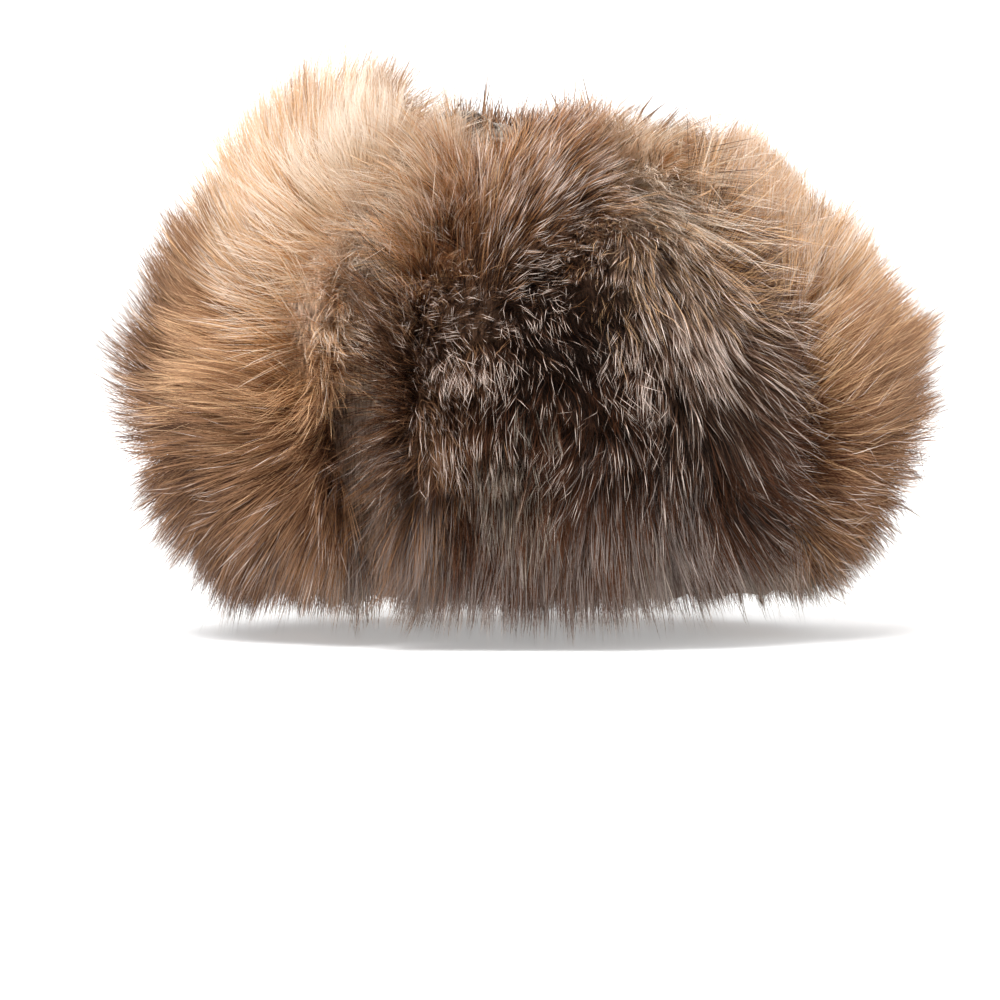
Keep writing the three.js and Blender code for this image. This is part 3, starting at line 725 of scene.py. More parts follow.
# %% the hem
# how high the hem is, in mm, at each angle in degrees from the right ear to the left, and behind
HEM = np.array(
    [
        (-70, -45, -36, -28, -16, -2, 6, 15, 30, 60),
        (17, 15, 14, 17, 15, 14, 16, 20, 24, 21),
    ],
    float,
)
HEM_BEHIND = 8.0
# how much the hem differs between wisps and between hairs, in mm
RAGGED_WISPS, RAGGED_HAIRS = 6.5, 1.5
# the least factor by which a hair is made smaller, and the lowest height of a point in mm
SMALLEST, LOWEST = 0.12, 0.6


def trimmed(path, degrees, of, rng):
    """Each hair made smaller about its root by one factor, so that its tip isn't outside the hat's box,
    or below the ragged hem where the least factor allows it. No point is under the lowest height."""
    root, tip = path[:, 0], path[:, -1]
    low = np.where(behind(degrees), HEM_BEHIND, np.interp(degrees, HEM[0], HEM[1]))
    wisp_hem = rng.normal(0, RAGGED_WISPS, of[-1] + 1)[of] + low
    hem = np.clip(wisp_hem + rng.normal(0, RAGGED_HAIRS, len(of)), 1.0, 30)
    above = np.clip((root[:, 2] - hem) / np.maximum(root[:, 2] - tip[:, 2], 1.0), SMALLEST, 1)
    small = np.where(tip[:, 2] < hem, above, 1.0)
    reach = (np.where(tip > 0, BOX_TOP, BOX_LOW) - root) / np.where(np.abs(tip - root) < 1, 1, tip - root)
    small = np.minimum(small, np.where(reach > 0, reach, 1).min(1))
    path = root[:, None] + (path - root[:, None]) * small[:, None, None]
    path[:, :, 2] = np.maximum(path[:, :, 2], LOWEST)
    return path


# %% [markdown]
# Colour in fur is mixed hair by hair. Six hairs in ten draw their own pelt by the shares that the comb
# gives at their place, and the rest take their wisp's. Frost is mostly on guard hairs, which is what
# makes a fox's back glitter. Wisps and single hairs also differ in tone at random, and patches a few mm
# across are made darker or lighter: painted shade, laid at random, that stands for the shadows between
# tufts.

# %% pelts and tones of the hairs
# the share of hairs that draw their own pelt
ALONE_SHARE = 0.6
# the frosted share of guard hairs and of underfur, against the table's
GUARD_FROST, UNDERFUR_FROST = 1.9, 0.75
# how much the painted shade of the patches and the random tones differ: most above a height of the
# front flap, and least in the fringe
LIVELY_ABOVE, LIVELY_TOP, LIVELY_FRONT, LIVELY_REST, LIVELY_FRINGE = 130.0, 1.5, 1.3, 0.6, 0.15


def drawn_pelts(shares, place, guard, of, rng):
    """Each hair's pelt by number: the first whose summed share passes a random level, which patches of
    noise raise and lower. A second level says if it is frosted."""
    total, count = len(of), len(shares)
    frost_number = PELT_NAMES.index("frost")
    frost = shares[:, frost_number]
    others = shares.copy()
    others[:, frost_number] = 0
    ladder = np.cumsum(others / others.sum(1, keepdims=True), 1)
    alone = rng.random(total) < ALONE_SHARE
    patch = patches(place, 20, 21) + patches(place, 9, 22) - 1
    level = np.where(alone, rng.random(total), rng.random(count)[of])
    level = np.clip(level + 0.35 * patch, 0.001, 0.999)
    pelt = np.minimum((ladder[of] < level[:, None]).sum(1), len(PELT_NAMES) - 1)
    level = np.where(alone, rng.random(total), rng.random(count)[of])
    frosted = level < frost[of] * np.where(guard, GUARD_FROST, UNDERFUR_FROST)
    return np.where(frosted, frost_number, pelt)


def drawn_tones(name, place, hair_row, of, rng):
    """How dark or light each hair is against its pelt, from 0 to 1: half, plus patches of noise that paint
    shade between tufts, a draw for its wisp and one of its own."""
    lively = LIVELY_REST
    if name == "front_flap":
        lively = np.where(place[1] > LIVELY_ABOVE, LIVELY_TOP, LIVELY_FRONT)
    lively = np.where(hair_row < CALM_BELOW_ROW, LIVELY_FRINGE, lively)
    # painted shade: noise patches 6 and 3 mm across make the hairs darker or lighter, as the shadows
    # between tufts would
    shade = patches(place, 6, 23)
    shade = shade + 0.6 * patches(place, 3, 24) - 0.8
    wisp_tone = rng.normal(0, 0.07, of[-1] + 1)[of]
    tone = 0.5 + lively * (0.3 * shade + wisp_tone + rng.normal(0, 0.07, len(of)))
    return np.clip(tone, 0.03, 0.97)


# %% [markdown]
# With these four steps a whole flap's hair is grown: wisps, their hairs, the hem, and the pelts and
# tones. Widths are drawn last. Guard hairs are thicker than underfur, and hair behind the ears, where
# less is grown, is drawn wider.

# %% growing a flap's hair
# widths against the flap's own: guard hairs, underfur, and hair behind the ears
GUARD_THICK, UNDERFUR_THICK, THICK_BEHIND = 1.32, 0.9, 1.5


def grow(name, seed):
    """The hairs of a flap: their paths, outward directions, widths, pelts, tones and how much of a
    full-grown hair each one is."""
    rng = np.random.default_rng(seed)
    each, width = GROWTH[name][3], GROWTH[name][5]
    wisp, across, row, pace, wisp_strength, shares = grown_wisps(name, rng)
    of = np.repeat(np.arange(len(wisp)), each)
    path, out, hair_across, hair_row, guard, strength = hairs_of(name, wisp, across, row, pace, of, rng)
    degrees = FLAPS[name][0] + hair_across * FLAPS[name][1]
    place = degrees * MM_PER_DEGREE, path[:, 0, 2]
    path = trimmed(path, degrees, of, rng)
    pelt = drawn_pelts(shares, place, guard, of, rng)
    tone = drawn_tones(name, place, hair_row, of, rng)
    thick = width * np.where(guard, GUARD_THICK, UNDERFUR_THICK) * rng.uniform(0.8, 1.2, len(of))
    if name != "neck_flap":
        thick = thick * np.where(behind(degrees), THICK_BEHIND, 1.0)
    grown_share = np.clip(strength * np.clip(wisp_strength[of] + 0.08, 0.8, 1.05), 0.5, 1.0)
    return path, out, thick, pelt, tone, grown_share


# %% [markdown]
# A hair is a flat ribbon with two bends and a pointed end: seven points, two quads and a triangle. Each
# one is rolled at random about its own length, so that it catches the light differently from its
# neighbours. Its own map says which pelt it has (across) and how far along the hair a point is (up),
# which is all that its colour needs.

# %% hairs as meshes
TRIANGLES_EACH = 5
# how far a hair may be rolled either way, in degrees
ROLL = 38
# the width at a hair's first three points against its full width
WIDTHS = np.array([0.9, 1.0, 0.72])


def hair_mesh(name, path, out, thick, pelt, tone, grown_share, seed):
    """A ribbon for each path. Its side is the path's direction crossed with a rolled outward direction,
    so that the faces look outwards. The width falls from the root to a point."""
    rng = np.random.default_rng(seed)
    count = len(path)
    along = np.empty_like(path)
    along[:, 0] = path[:, 1] - path[:, 0]
    along[:, 1:-1] = path[:, 2:] - path[:, :-2]
    along[:, -1] = path[:, -1] - path[:, -2]
    along = unit(along)
    roll = np.radians(rng.uniform(-ROLL, ROLL, count))[:, None, None]
    level = unit(np.cross(along, out[:, None]))
    facing = np.cross(level, along)
    side = level * np.cos(roll) + facing * np.sin(roll)
    half = thick[:, None, None] * 0.5 * WIDTHS[None, :, None]
    left = path[:, :3] - side[:, :3] * half
    right = path[:, :3] + side[:, :3] * half
    points = np.concatenate([np.stack([left, right], 2).reshape(count, 6, 3), path[:, 3:]], 1)
    corners = np.array([0, 1, 3, 2, 2, 3, 5, 4, 4, 5, 6])
    loops = (np.arange(count)[:, None] * 7 + corners).ravel()
    starts = (np.arange(count)[:, None] * 11 + np.array([0, 4, 8])).ravel()
    mesh = bpy.data.meshes.new(name)
    mesh.vertices.add(count * 7)
    mesh.vertices.foreach_set("co", (points * MM).ravel())
    mesh.loops.add(len(loops))
    mesh.loops.foreach_set("vertex_index", loops)
    mesh.polygons.add(len(starts))
    mesh.polygons.foreach_set("loop_start", starts)
    # A pelt is a column of the map, and the tone is the place in it, kept off the column's edges.
    u = (pelt + 0.04 + 0.92 * tone) / len(PELT_NAMES)
    v = 0.01 + 0.98 * np.repeat(SHARES, 2)[None, :7] * grown_share[:, None]
    half_u = np.array([-1, 1, -1, 1, -1, 1, 0]) * 0.002
    uv = np.stack([u[:, None] + half_u, v], -1)
    layer = mesh.uv_layers.new(name="OFBake")
    layer.data.foreach_set("uv", uv[:, corners].astype(np.float32).ravel())
    mesh.update(calc_edges=True)
    return mesh


# %% [markdown]
# Every node of a material is added by one function, which takes the node's own settings and what goes
# into its sockets: a number, a colour, or another node's output.

# %% adding nodes
def add_node(tree, kind, settings=None, inputs=None):
    """A node of a kind, with its properties set and its sockets filled or linked."""
    node = tree.nodes.new(kind)
    for key, value in (settings or {}).items():
        setattr(node, key, value)
    for key, value in (inputs or {}).items():
        if isinstance(value, bpy.types.NodeSocket):
            tree.links.new(value, node.inputs[key])
        else:
            node.inputs[key].default_value = value
    return node


def new_material(name):
    """An empty node material, and its tree."""
    material = bpy.data.materials.new(name)
    material.use_nodes = True
    material.node_tree.nodes.clear()
    return material, material.node_tree


def set_ramp(node, stops):
    """Puts the stops, each a place from 0 to 1 and a hex colour, on a Color Ramp."""
    elements = node.color_ramp.elements
    while len(elements) < len(stops):
        elements.new(0.5)
    for element, (place, code) in zip(elements, stops):
        element.position = place
        element.color = linear(code)


# %% [markdown]
# Fox guard hair is smooth keratin: a soft shine along the hair, no metal, an index of refraction near
# 1.55. Its colour is read from the hair's own map. One ramp for each pelt runs from root to tip, the
# map's column picks the ramp, and the place within the column makes the hair a little darker or lighter
# than its neighbours, by its random tone and by the painted shade of its patch.

# %% guard hair material
def guard_hair():
    """One ramp for each pelt along the hair, picked by the map's column, times a gain by the place in
    it."""
    material, tree = new_material("fox_guard_hair")
    place = add_node(tree, "ShaderNodeUVMap", {"uv_map": "OFBake"})
    split = add_node(tree, "ShaderNodeSeparateXYZ", inputs={0: place.outputs[0]})
    across, along = split.outputs[0], split.outputs[1]
    scaled = add_node(
        tree, "ShaderNodeMath", {"operation": "MULTIPLY"}, {0: across, 1: float(len(PELT_NAMES))}
    )
    tone = add_node(tree, "ShaderNodeMath", {"operation": "FRACT"}, {0: scaled.outputs[0]})
    colour = None
    for i, name in enumerate(PELT_NAMES):
        ramp = add_node(tree, "ShaderNodeValToRGB", inputs={0: along})
        set_ramp(ramp, PELTS[name])
        if colour is None:
            colour = ramp.outputs[0]
            continue
        past = add_node(
            tree, "ShaderNodeMath", {"operation": "GREATER_THAN"}, {0: scaled.outputs[0], 1: float(i)}
        )
        mix = add_node(
            tree,
            "ShaderNodeMix",
            {"data_type": "RGBA"},
            {0: past.outputs[0], 6: colour, 7: ramp.outputs[0]},
        )
        colour = mix.outputs[2]
    gain = add_node(
        tree,
        "ShaderNodeMapRange",
        inputs={0: tone.outputs[0], 1: 0.0, 2: 1.0, 3: 0.62, 4: 1.38},
    )
    lit = add_node(
        tree, "ShaderNodeVectorMath", {"operation": "SCALE"}, {0: colour, "Scale": gain.outputs[0]}
    )
    shader = add_node(
        tree,
        "ShaderNodeBsdfPrincipled",
        inputs={
            "Base Color": lit.outputs[0],
            "Roughness": 0.6,
            "IOR": 1.55,
            "Specular IOR Level": 0.12,
        },
    )
    add_node(tree, "ShaderNodeOutputMaterial", inputs={0: shader.outputs[0]})
    return material


GUARD_HAIR = guard_hair()


def finish_piece(mesh, material, node):
    """Puts a mesh into the scene as a piece that stands for a solid, rides on the body and takes its
    slot."""
    piece = bpy.data.objects.new(mesh.name, mesh)
    bpy.context.scene.collection.objects.link(piece)
    mesh.materials.append(material)
    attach(piece, "root")
    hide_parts(node)
    return piece


# %% [markdown]
# The flaps get their hair. A piece stays under 200,000 triangles, so each flap's hair is two pieces,
# the upper and the lower half of it.

# %% hair on the flaps
hair_triangles = 0
for seed, name in enumerate(FLAPS, start=101):
    path, out, thick, pelt, tone, grown_share = grow(name, seed)
    low = path[:, 0, 2] < np.median(path[:, 0, 2])
    for part, chosen in (("upper", ~low), ("lower", low)):
        mesh = hair_mesh(
            f"{name}_hair_{part}",
            path[chosen],
            out[chosen],
            thick[chosen],
            pelt[chosen],
            tone[chosen],
            grown_share[chosen],
            seed + 50,
        )
        finish_piece(mesh, GUARD_HAIR, name)
        hair_triangles += chosen.sum() * TRIANGLES_EACH
    print(name, "hairs:", len(path), "tips reach", path[:, -1].min(0).round(), path[:, -1].max(0).round())
print("hair triangles:", hair_triangles)

# %% [markdown]
# Under the guard hair lies the dense woolly undercoat on its hide. It only shows where the hair parts,
# as a soft darker ground. It is one closed body for each flap: the fur's outline drawn in by some
# millimetres, and the crown's own outline as its inner side.

# %% undercoat bodies
# the share of the hair's depth that the undercoat is drawn in by
UNDERCOAT_DEPTH = 0.84
# how high its ragged underside is, in mm
UNDERSIDE = {"front_flap": 21.0, "ear_flap_left": 20.0, "ear_flap_right": 20.0, "neck_flap": 12.0}
# columns and rows of points, and the height of its inner side's top in mm
UNDERCOAT_GRID = {
    "front_flap": (91, 71),
    "ear_flap_left": (91, 71),
    "ear_flap_right": (91, 71),
    "neck_flap": (61, 61),
}
INNER_ROWS, INNER_TOP = 12, 173.0
# how far it keeps off the crown, in mm, on its inner side and elsewhere
INNER_CLEARANCE, LEAST_CLEARANCE = 1.0, 0.8


def closed_mesh(name, bodies):
    """A mesh of closed bodies. Each is rings of points, joined to the next ring by quads, and a fan of
    triangles to its middle closes each end."""
    points, faces = [], []
    for body in bodies:
        rings, size = body.shape[:2]
        start = sum(len(rows) for rows in points)
        index = np.arange(rings * size).reshape(rings, size) + start
        on = np.roll(index, -1, 1)
        first, last = start + rings * size, start + rings * size + 1
        faces += np.stack([index[:-1], index[1:], on[1:], on[:-1]], -1).reshape(-1, 4).tolist()
        faces += np.stack([index[0], on[0], np.full(size, first)], -1).tolist()
        faces += np.stack([on[-1], index[-1], np.full(size, last)], -1).tolist()
        points.append(np.concatenate([body.reshape(-1, 3), [body[0].mean(0), body[-1].mean(0)]]))
    mesh = bpy.data.meshes.new(name)
    mesh.from_pydata((np.concatenate(points) * MM).tolist(), [], faces)
    mesh.update()
    return mesh


PELT_SHADES = np.array([linear(stops[len(stops) // 2][1]) for stops in PELTS.values()])


def undercoat(name):
    """Rings across the flap: up the outline, drawn in along its outward direction by a share of the
    hair's depth and a little noise, then down the crown. Each point's colour is the pelts' middle
    colours by their shares."""
    middle, spread, tall, ends, dip = FLAPS[name]
    columns, rows = UNDERCOAT_GRID[name]
    across = np.linspace(-1, 1, columns)
    row = np.linspace(0, LAST_ROW, rows)
    a, r = np.meshgrid(across, row, indexing="ij")
    point, out = fur_frame(name, a, r)[:2]
    degrees = middle + a * spread
    bumps = smooth_noise(degrees * MM_PER_DEGREE / 7 + 200, point[..., 2] / 7, 5) - 0.5
    bumps = bumps + 0.6 * (smooth_noise(degrees * MM_PER_DEGREE / 3 + 300, point[..., 2] / 3, 6) - 0.5)
    inset = hair_depth(name, a, r) * UNDERCOAT_DEPTH + 3.0 * bumps + 5 * np.abs(a) ** 6
    outer = point - out * inset[..., None]
    angle = np.radians(middle + across * spread)[:, None]
    plump = ends + (1 - ends) * (1 - np.abs(across) ** PLUMPNESS) ** (1 / PLUMPNESS)
    top = INNER_TOP * tall * (1 - dip * (1 - plump) / (1 - ends))
    height = top[:, None] * np.linspace(1, 0.06, INNER_ROWS)[None]
    inner = around(angle, crown_radius(angle, height, INNER_CLEARANCE), height)
    ring = np.concatenate([outer, inner], 1)
    from_axis = ring - CROWN_MIDDLE
    way = np.arctan2(from_axis[..., 0], -from_axis[..., 1])
    radius = np.hypot(from_axis[..., 0], from_axis[..., 1])
    radius = np.maximum(radius, crown_radius(way, ring[..., 2], LEAST_CLEARANCE))
    ragged = 6 * smooth_noise(degrees[:, :1] * MM_PER_DEGREE / 8 + 400, radius / 9, 7) - 3
    ring = around(way, radius, np.maximum(ring[..., 2], UNDERSIDE[name] + ragged))
    mesh = closed_mesh(f"{name}_undercoat", [ring])
    shares = combed(name, degrees.ravel(), point[..., 2].ravel())[4]
    shares = shares / shares.sum(1, keepdims=True)
    outer_colour = (shares @ PELT_SHADES).reshape(columns, rows, 4)
    lining = np.broadcast_to(outer_colour[:, -1:], (columns, INNER_ROWS, 4))
    colour = np.concatenate([outer_colour, lining], 1)
    colour = np.concatenate([colour.reshape(-1, 4), [colour[0].mean(0), colour[-1].mean(0)]])
    layer = mesh.color_attributes.new("pelt_colour", "FLOAT_COLOR", "POINT")
    layer.data.foreach_set("color", colour.astype(np.float32).ravel())
    mesh.shade_smooth()
    return mesh


# %% [markdown]
# Underfur is wool: dense, crimped and matt, so it has next to no shine. Its fibres are some 0.02 mm
# thick, and are drawn 1 mm wide and 5 mm long, so that they show where the hair parts.

# %% undercoat wool
def undercoat_wool():
    """The pelts' own colours, with noise stretched along the fibres in both the colour and the bump."""
    material, tree = new_material("fox_underfur")
    where = add_node(tree, "ShaderNodeTexCoord")
    pelt = add_node(tree, "ShaderNodeAttribute", {"attribute_name": "pelt_colour"})
    drawn_out = add_node(
        tree,
        "ShaderNodeMapping",
        inputs={"Vector": where.outputs["Object"], "Rotation": (0.3, 0.3, 0.0), "Scale": (1.0, 1.0, 0.2)},
    )
    fibres = add_node(
        tree,
        "ShaderNodeTexNoise",
        inputs={"Vector": drawn_out.outputs[0], "Scale": 1000.0, "Detail": 3.0},
    )
    gain = add_node(
        tree, "ShaderNodeMapRange", inputs={0: fibres.outputs[0], 1: 0.32, 2: 0.68, 3: 0.3, 4: 1.35}
    )
    colour = add_node(
        tree,
        "ShaderNodeVectorMath",
        {"operation": "SCALE"},
        {0: pelt.outputs["Color"], "Scale": gain.outputs[0]},
    )
    bump = add_node(
        tree,
        "ShaderNodeBump",
        inputs={"Height": fibres.outputs[0], "Strength": 0.7, "Distance": 0.0015},
    )
    shader = add_node(
        tree,
        "ShaderNodeBsdfPrincipled",
        inputs={
            "Base Color": colour.outputs[0],
            "Roughness": 0.9,
            "Specular IOR Level": 0.1,
            "Normal": bump.outputs[0],
        },
    )
    add_node(tree, "ShaderNodeOutputMaterial", inputs={0: shader.outputs[0]})
    return material


UNDERFUR = undercoat_wool()
for name in FLAPS:
    piece = finish_piece(undercoat(name), UNDERFUR, name)
    print(piece.name, "faces:", len(piece.data.polygons))

# %% [markdown]
# The crown is tweed: six panels sewn up to one point. It is a double-walled dome 2 mm thick, whose
# inner side is plain, with a shallow groove where two panels meet. Sweeping a superellipse is quicker
# and cleaner than sewing panels by simulation, and little of it shows.

# %% the crown
PANELS = 6
# a seam's depth and width, and the distance from the crown's point where it starts to fade, in mm
SEAM_DEPTH, SEAM_WIDTH, SEAM_FADE = 0.9, 2.2, 30.0


def crown_shell():
    """Outer and inner skins by angle and turn. Height follows sin(turn)^(2/n), and the seams sink the
    outer one."""
    angle = np.linspace(0, 2 * math.pi, 145)[:-1]
    turn = np.linspace(0, 1, 31)[:-1] * math.pi / 2
    skins = []
    for clearance in (0.0, -CLOTH):
        rise = CROWN_TOP + clearance - RIM_HEIGHT
        height = RIM_HEIGHT + rise * np.sin(turn) ** (2 / FULLNESS)
        a, h = np.meshgrid(angle, height, indexing="ij")
        radius = crown_radius(a, h, clearance)
        if clearance == 0:
            from_seam = np.abs((a * PANELS / (2 * math.pi) + 0.5) % 1 - 0.5) * 2 * math.pi / PANELS * radius
            groove = SEAM_DEPTH * np.exp(-((from_seam / SEAM_WIDTH) ** 2))
            radius = radius - groove * np.minimum(1, radius / SEAM_FADE)
        skins.append(around(a, radius, h))
    outer, inner = skins
    top = around(0.0, 0.0, np.array([CROWN_TOP, CROWN_TOP - CLOTH]))
    rim_up = np.concatenate([outer, inner[:, ::-1]], 1)
    count, size = rim_up.shape[:2]
    index = np.arange(count * size).reshape(count, size)
    beyond = np.roll(index, -1, 0)
    ring = len(turn)
    columns = [j for j in range(size - 1) if j != ring - 1]
    faces = np.stack([index[:, :-1], beyond[:, :-1], beyond[:, 1:], index[:, 1:]], -1)[:, columns]
    faces = faces.reshape(-1, 4).tolist()
    faces += np.stack([index[:, 0], index[:, -1], beyond[:, -1], beyond[:, 0]], -1).tolist()
    peak, inner_peak = count * size, count * size + 1
    faces += np.stack([index[:, ring - 1], beyond[:, ring - 1], np.full(count, peak)], -1).tolist()
    faces += np.stack([beyond[:, ring], index[:, ring], np.full(count, inner_peak)], -1).tolist()
    points = np.concatenate([rim_up.reshape(-1, 3), top.reshape(-1, 3)])
    mesh = bpy.data.meshes.new("crown_cloth_shell")
    mesh.from_pydata((points * MM).tolist(), [], faces)
    mesh.update()
    mesh.shade_smooth()
    return mesh


# %% [markdown]
# Wool tweed is woven from two heathered yarns, so up close it is a fine twill of a lighter and a darker
# brown. The yarns are 0.9 mm apart on the real cloth and are drawn 2 mm apart, so that they show in the
# render.

# %% woven cloth material
def woven_cloth(name, dark, light, spacing_mm, roughness=0.9):
    """Two crossing sets of threads by Wave textures, with noise for the heather and a bump of the
    threads."""
    material, tree = new_material(name)
    where = add_node(tree, "ShaderNodeTexCoord")
    warp_turn, weft_turn = (0.0, 0.0, 0.6), (0.5, 0.0, -0.9)
    threads = []
    for turn in (warp_turn, weft_turn):
        mapping = add_node(
            tree,
            "ShaderNodeMapping",
            inputs={"Vector": where.outputs["Object"], "Rotation": turn},
        )
        # A Wave texture of scale 1 has a band each 0.314 m along its axis.
        wave = add_node(
            tree,
            "ShaderNodeTexWave",
            inputs={"Vector": mapping.outputs[0], "Scale": 314.0 / spacing_mm, "Distortion": 0.6},
        )
        threads.append(wave.outputs[1])
    weave = add_node(
        tree, "ShaderNodeMath", {"operation": "MULTIPLY"}, {0: threads[0], 1: threads[1]}
    )
    heather = add_node(
        tree,
        "ShaderNodeTexNoise",
        inputs={"Vector": where.outputs["Object"], "Scale": 380.0, "Detail": 3.0},
    )
    both = add_node(
        tree,
        "ShaderNodeMath",
        {"operation": "MULTIPLY_ADD"},
        {0: heather.outputs[0], 1: 0.7, 2: weave.outputs[0]},
    )
    ramp = add_node(tree, "ShaderNodeValToRGB", inputs={0: both.outputs[0]})
    set_ramp(ramp, ((0.25, dark), (0.95, light)))
    bump = add_node(
        tree,
        "ShaderNodeBump",
        inputs={"Height": weave.outputs[0], "Strength": 0.5, "Distance": 0.0006},
    )
    shader = add_node(
        tree,
        "ShaderNodeBsdfPrincipled",
        inputs={
            "Base Color": ramp.outputs[0],
            "Roughness": roughness,
            "Sheen Weight": 0.25,
            "Specular IOR Level": 0.2,
            "Normal": bump.outputs[0],
        },
    )
    add_node(tree, "ShaderNodeOutputMaterial", inputs={0: shader.outputs[0]})
    return material


TWEED = woven_cloth("wool_tweed", "#4f473f", "#8d8175", 2.0)
crown_piece = finish_piece(crown_shell(), TWEED, "crown")
print("crown faces:", len(crown_piece.data.polygons))

# %% [markdown]
# The ear flaps are held up by a ribbon over the crown, tied in a flat knot with two short ends. The
# ribbon is a band with rounded edges swept over the crown's top, and the knot is two soft loops of the
# same ribbon pulled together.

# %% ribbon and knot
RIBBON_HALF, RIBBON_WIDTH, RIBBON_THICK = 45.0, 14.0, 1.4
KNOT_X, KNOT_Y = -14.0, 2.0
KNOT_LENGTH, KNOT_WIDTH, KNOT_HEIGHT = 23.0, 18.0, 12.0
# the two short ends: which way each one points, how far it stands up and its length, in mm
SHORT_ENDS = ((-7, -5, 9, 15), (10, -24, 0, 30))
# their width against the ribbon's, and how high up the knot the lying and the standing one start
END_SHARE, LYING_START, STANDING_START = 0.86, 0.4, 0.5


def crown_height(x, y, clearance):
    """The superellipse of the crown's section, as a height over a place on it."""
    out = np.hypot(x / (HEAD_HALF_WIDTH + CLOTH), y / (HEAD_HALF_DEPTH + CLOTH))
    share = np.clip(1 - out**FULLNESS, 0, 1) ** (1 / FULLNESS)
    return RIM_HEIGHT + (CROWN_TOP - RIM_HEIGHT) * share + clearance


def band_rings(line, across, width, thick):
    """Twelve-point rings round a line: a flat oval with its width along `across` and its thickness
    upward."""
    along = unit(np.gradient(line, axis=0))
    side = unit(across - (across * along).sum(-1, keepdims=True) * along)
    up = np.cross(along, side)
    up = np.where(up[:, 2:] < 0, -up, up)
    turn = np.linspace(0, 2 * math.pi, 13)[:-1]
    flat = np.sign(np.cos(turn)) * np.abs(np.cos(turn)) ** 0.35 * width / 2
    high = np.sign(np.sin(turn)) * np.abs(np.sin(turn)) ** 0.6 * thick / 2 + thick / 2
    return line[:, None] + side[:, None] * flat[:, None] + up[:, None] * high[:, None]


def webbing_mesh(name, bodies):
    """Closed bodies as one smooth mesh. Its faces are made to look outwards, whichever way a body's
    rings run."""
    mesh = closed_mesh(name, bodies)
    work = bmesh.new()
    work.from_mesh(mesh)
    bmesh.ops.recalc_face_normals(work, faces=work.faces)
    work.to_mesh(mesh)
    work.free()
    mesh.shade_smooth()
    return mesh


def ribbon_line():
    """The ribbon's middle line: over the crown's top from one ear flap to the other."""
    x = np.linspace(-RIBBON_HALF, RIBBON_HALF, 41)
    y = np.full_like(x, KNOT_Y)
    return np.stack([x, y, crown_height(x, y, 2 * GAP)], -1) + CROWN_MIDDLE


def knot_bodies():
    """The knot: a flattened, creased ball across the ribbon, one short end that stands up and one that
    lies."""
    base = crown_height(KNOT_X, KNOT_Y, 3 * GAP) + RIBBON_THICK
    turn = np.linspace(0.03, math.pi - 0.03, 25)
    ring = np.linspace(0, 2 * math.pi, 25)[:-1]
    t, r = np.meshgrid(turn, ring, indexing="ij")
    crease = 1 - 0.09 * np.abs(np.sin(2.5 * r + 1.5 * t))
    x = np.cos(t) * KNOT_LENGTH / 2
    y = np.sin(t) * np.cos(r) * KNOT_WIDTH / 2 * crease
    z = np.sin(t) * np.sin(r) * KNOT_HEIGHT / 2 * crease
    centre = np.array([KNOT_X, KNOT_Y, base + KNOT_HEIGHT / 2]) + CROWN_MIDDLE
    bodies = [np.stack([x, y, z], -1) + centre]
    for dx, dy, rise, length in SHORT_ENDS:
        way = np.array([dx, dy]) / math.hypot(dx, dy)
        share = np.linspace(0, 1, 17)
        px, py = KNOT_X + way[0] * length * share, KNOT_Y + way[1] * length * share
        droop = (RIBBON_THICK + KNOT_HEIGHT * LYING_START) * (1 - share**3)
        lying = crown_height(px, py, 2 * GAP) + droop
        standing = base + KNOT_HEIGHT * STANDING_START + rise * share**0.7
        line = np.stack([px, py, standing if rise else lying], -1) + CROWN_MIDDLE
        sideways = np.array([-way[1], way[0], 0.0])
        bodies.append(band_rings(line, sideways, RIBBON_WIDTH * END_SHARE, RIBBON_THICK))
    return bodies


WEBBING = woven_cloth("woven_cotton_ribbon", "#5d544b", "#a59a8d", 1.6, 0.85)
ribbon_rings = band_rings(ribbon_line(), np.array([0.0, 1.0, 0.0]), RIBBON_WIDTH, RIBBON_THICK)
ribbon_mesh = webbing_mesh("tie_ribbon_band", [ribbon_rings])
ribbon_piece = finish_piece(ribbon_mesh, WEBBING, "tie_ribbon")
knot_mesh = webbing_mesh("tie_knot_bow", knot_bodies())
knot_piece = finish_piece(knot_mesh, WEBBING, "tie_knot")
print("ribbon and knot faces:", len(ribbon_piece.data.polygons), len(knot_piece.data.polygons))

# %% [markdown]
# The floor is a plain white studio sweep: a flat sheet that curves up behind, so that no edge shows. It
# is lit a little from below, like a light table, which keeps the shadow under the hat as faint as the
# photograph has it.

# %% floor
# where the sheet starts to bend, the bend's radius and the sheet's height, in metres
BEND_START, BEND_RADIUS, SWEEP_HEIGHT = 3.0, 1.5, 5.0


def sweep_floor():
    """A profile carried sideways: flat, then a quarter circle up behind the hat."""
    flat = np.linspace(-4.0, BEND_START, 8)
    bend = np.linspace(0, math.pi / 2, 17)[1:]
    y = np.concatenate([flat, BEND_START + BEND_RADIUS * np.sin(bend), [BEND_START + BEND_RADIUS]])
    z = np.concatenate([np.zeros(len(flat)), BEND_RADIUS * (1 - np.cos(bend)), [SWEEP_HEIGHT]])
    x = np.array([-5.0, 5.0])
    points = np.stack([np.repeat(x, len(y)), np.tile(y, 2), np.tile(z, 2)], -1)
    i = np.arange(len(y) - 1)
    faces = np.stack([i, i + len(y), i + len(y) + 1, i + 1], -1).tolist()
    mesh = bpy.data.meshes.new("studio_sweep")
    mesh.from_pydata(points.tolist(), [], faces)
    mesh.update()
    mesh.shade_smooth()
    return mesh


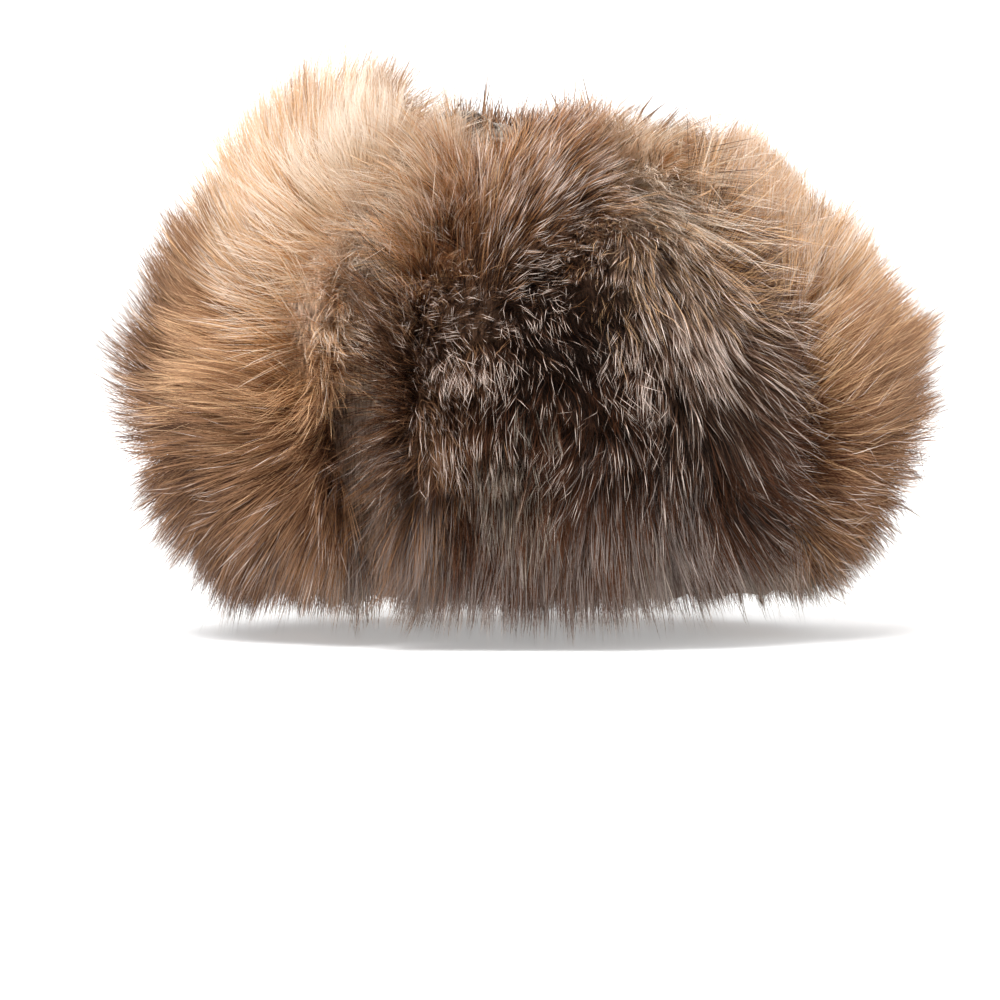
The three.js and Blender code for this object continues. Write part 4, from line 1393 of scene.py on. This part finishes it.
floor = bpy.data.objects.new("studio_sweep", sweep_floor())
bpy.context.scene.collection.objects.link(floor)
paper, paper_tree = new_material("white_studio_paper")
paper_shader = add_node(
    paper_tree,
    "ShaderNodeBsdfPrincipled",
    inputs={
        "Base Color": linear("#fbfbfb"),
        "Roughness": 0.9,
        "Specular IOR Level": 0.1,
        "Emission Color": linear("#ffffff"),
        "Emission Strength": 0.35,
    },
)
add_node(paper_tree, "ShaderNodeOutputMaterial", inputs={0: paper_shader.outputs[0]})
floor.data.materials.append(paper)

# %% [markdown]
# The photograph has an almost shadowless white ground and a soft key light from above, a little to the
# left and in front. A bright even world gives the first, and one wide area light the second.

# %% light
WORLD_STRENGTH = 0.54
world = bpy.data.worlds.new("white_studio")
bpy.context.scene.world = world
world.use_nodes = True
world.node_tree.nodes["Background"].inputs[0].default_value = (1.0, 1.0, 1.0, 1.0)
world.node_tree.nodes["Background"].inputs[1].default_value = WORLD_STRENGTH


def area_light(name, place, target, size, power):
    """A square area light at a place, turned to look at a target."""
    data = bpy.data.lights.new(name, "AREA")
    data.size = size
    data.energy = power
    light = bpy.data.objects.new(name, data)
    way = np.array(target) - np.array(place)
    light.location = place
    flat = math.hypot(way[0], way[1])
    light.rotation_euler = (math.atan2(flat, -way[2]), 0, math.atan2(way[0], -way[1]) + math.pi)
    bpy.context.scene.collection.objects.link(light)
    return light


area_light("key_light", (-0.7, -1.1, 2.2), (0, 0, 0.1), 1.9, 78)
area_light("fill_light", (1.6, -1.6, 1.2), (0, 0, 0.1), 1.4, 10)
area_light("backdrop_light", (0, 1.6, 2.6), (0, 4.2, 0.3), 1.6, 60)
bpy.context.scene.view_settings.view_transform = "Standard"

# %% [markdown]
# The camera looks almost level, from 8 degrees to the hat's right of its middle, with a long lens. One
# pixel of the frame is 0.4 mm at the hat, so the frame is 400 mm wide there. Its numbers stand with the
# strokes on the picture, which need them too.

# %% camera
camera_data = bpy.data.cameras.new("camera")
camera_data.sensor_width = 36.0
camera_data.lens = 36.0 * DISTANCE / FRAME_WIDTH
camera_data.clip_end = 50.0
camera = bpy.data.objects.new("camera", camera_data)
camera.location = TARGET + CAMERA_BACK * DISTANCE
camera.rotation_euler = (math.pi / 2 - ELEVATION, 0.0, AZIMUTH)
bpy.context.scene.collection.objects.link(camera)
bpy.context.scene.camera = camera
print("camera height in mm:", round(camera.location[2] * 1000))
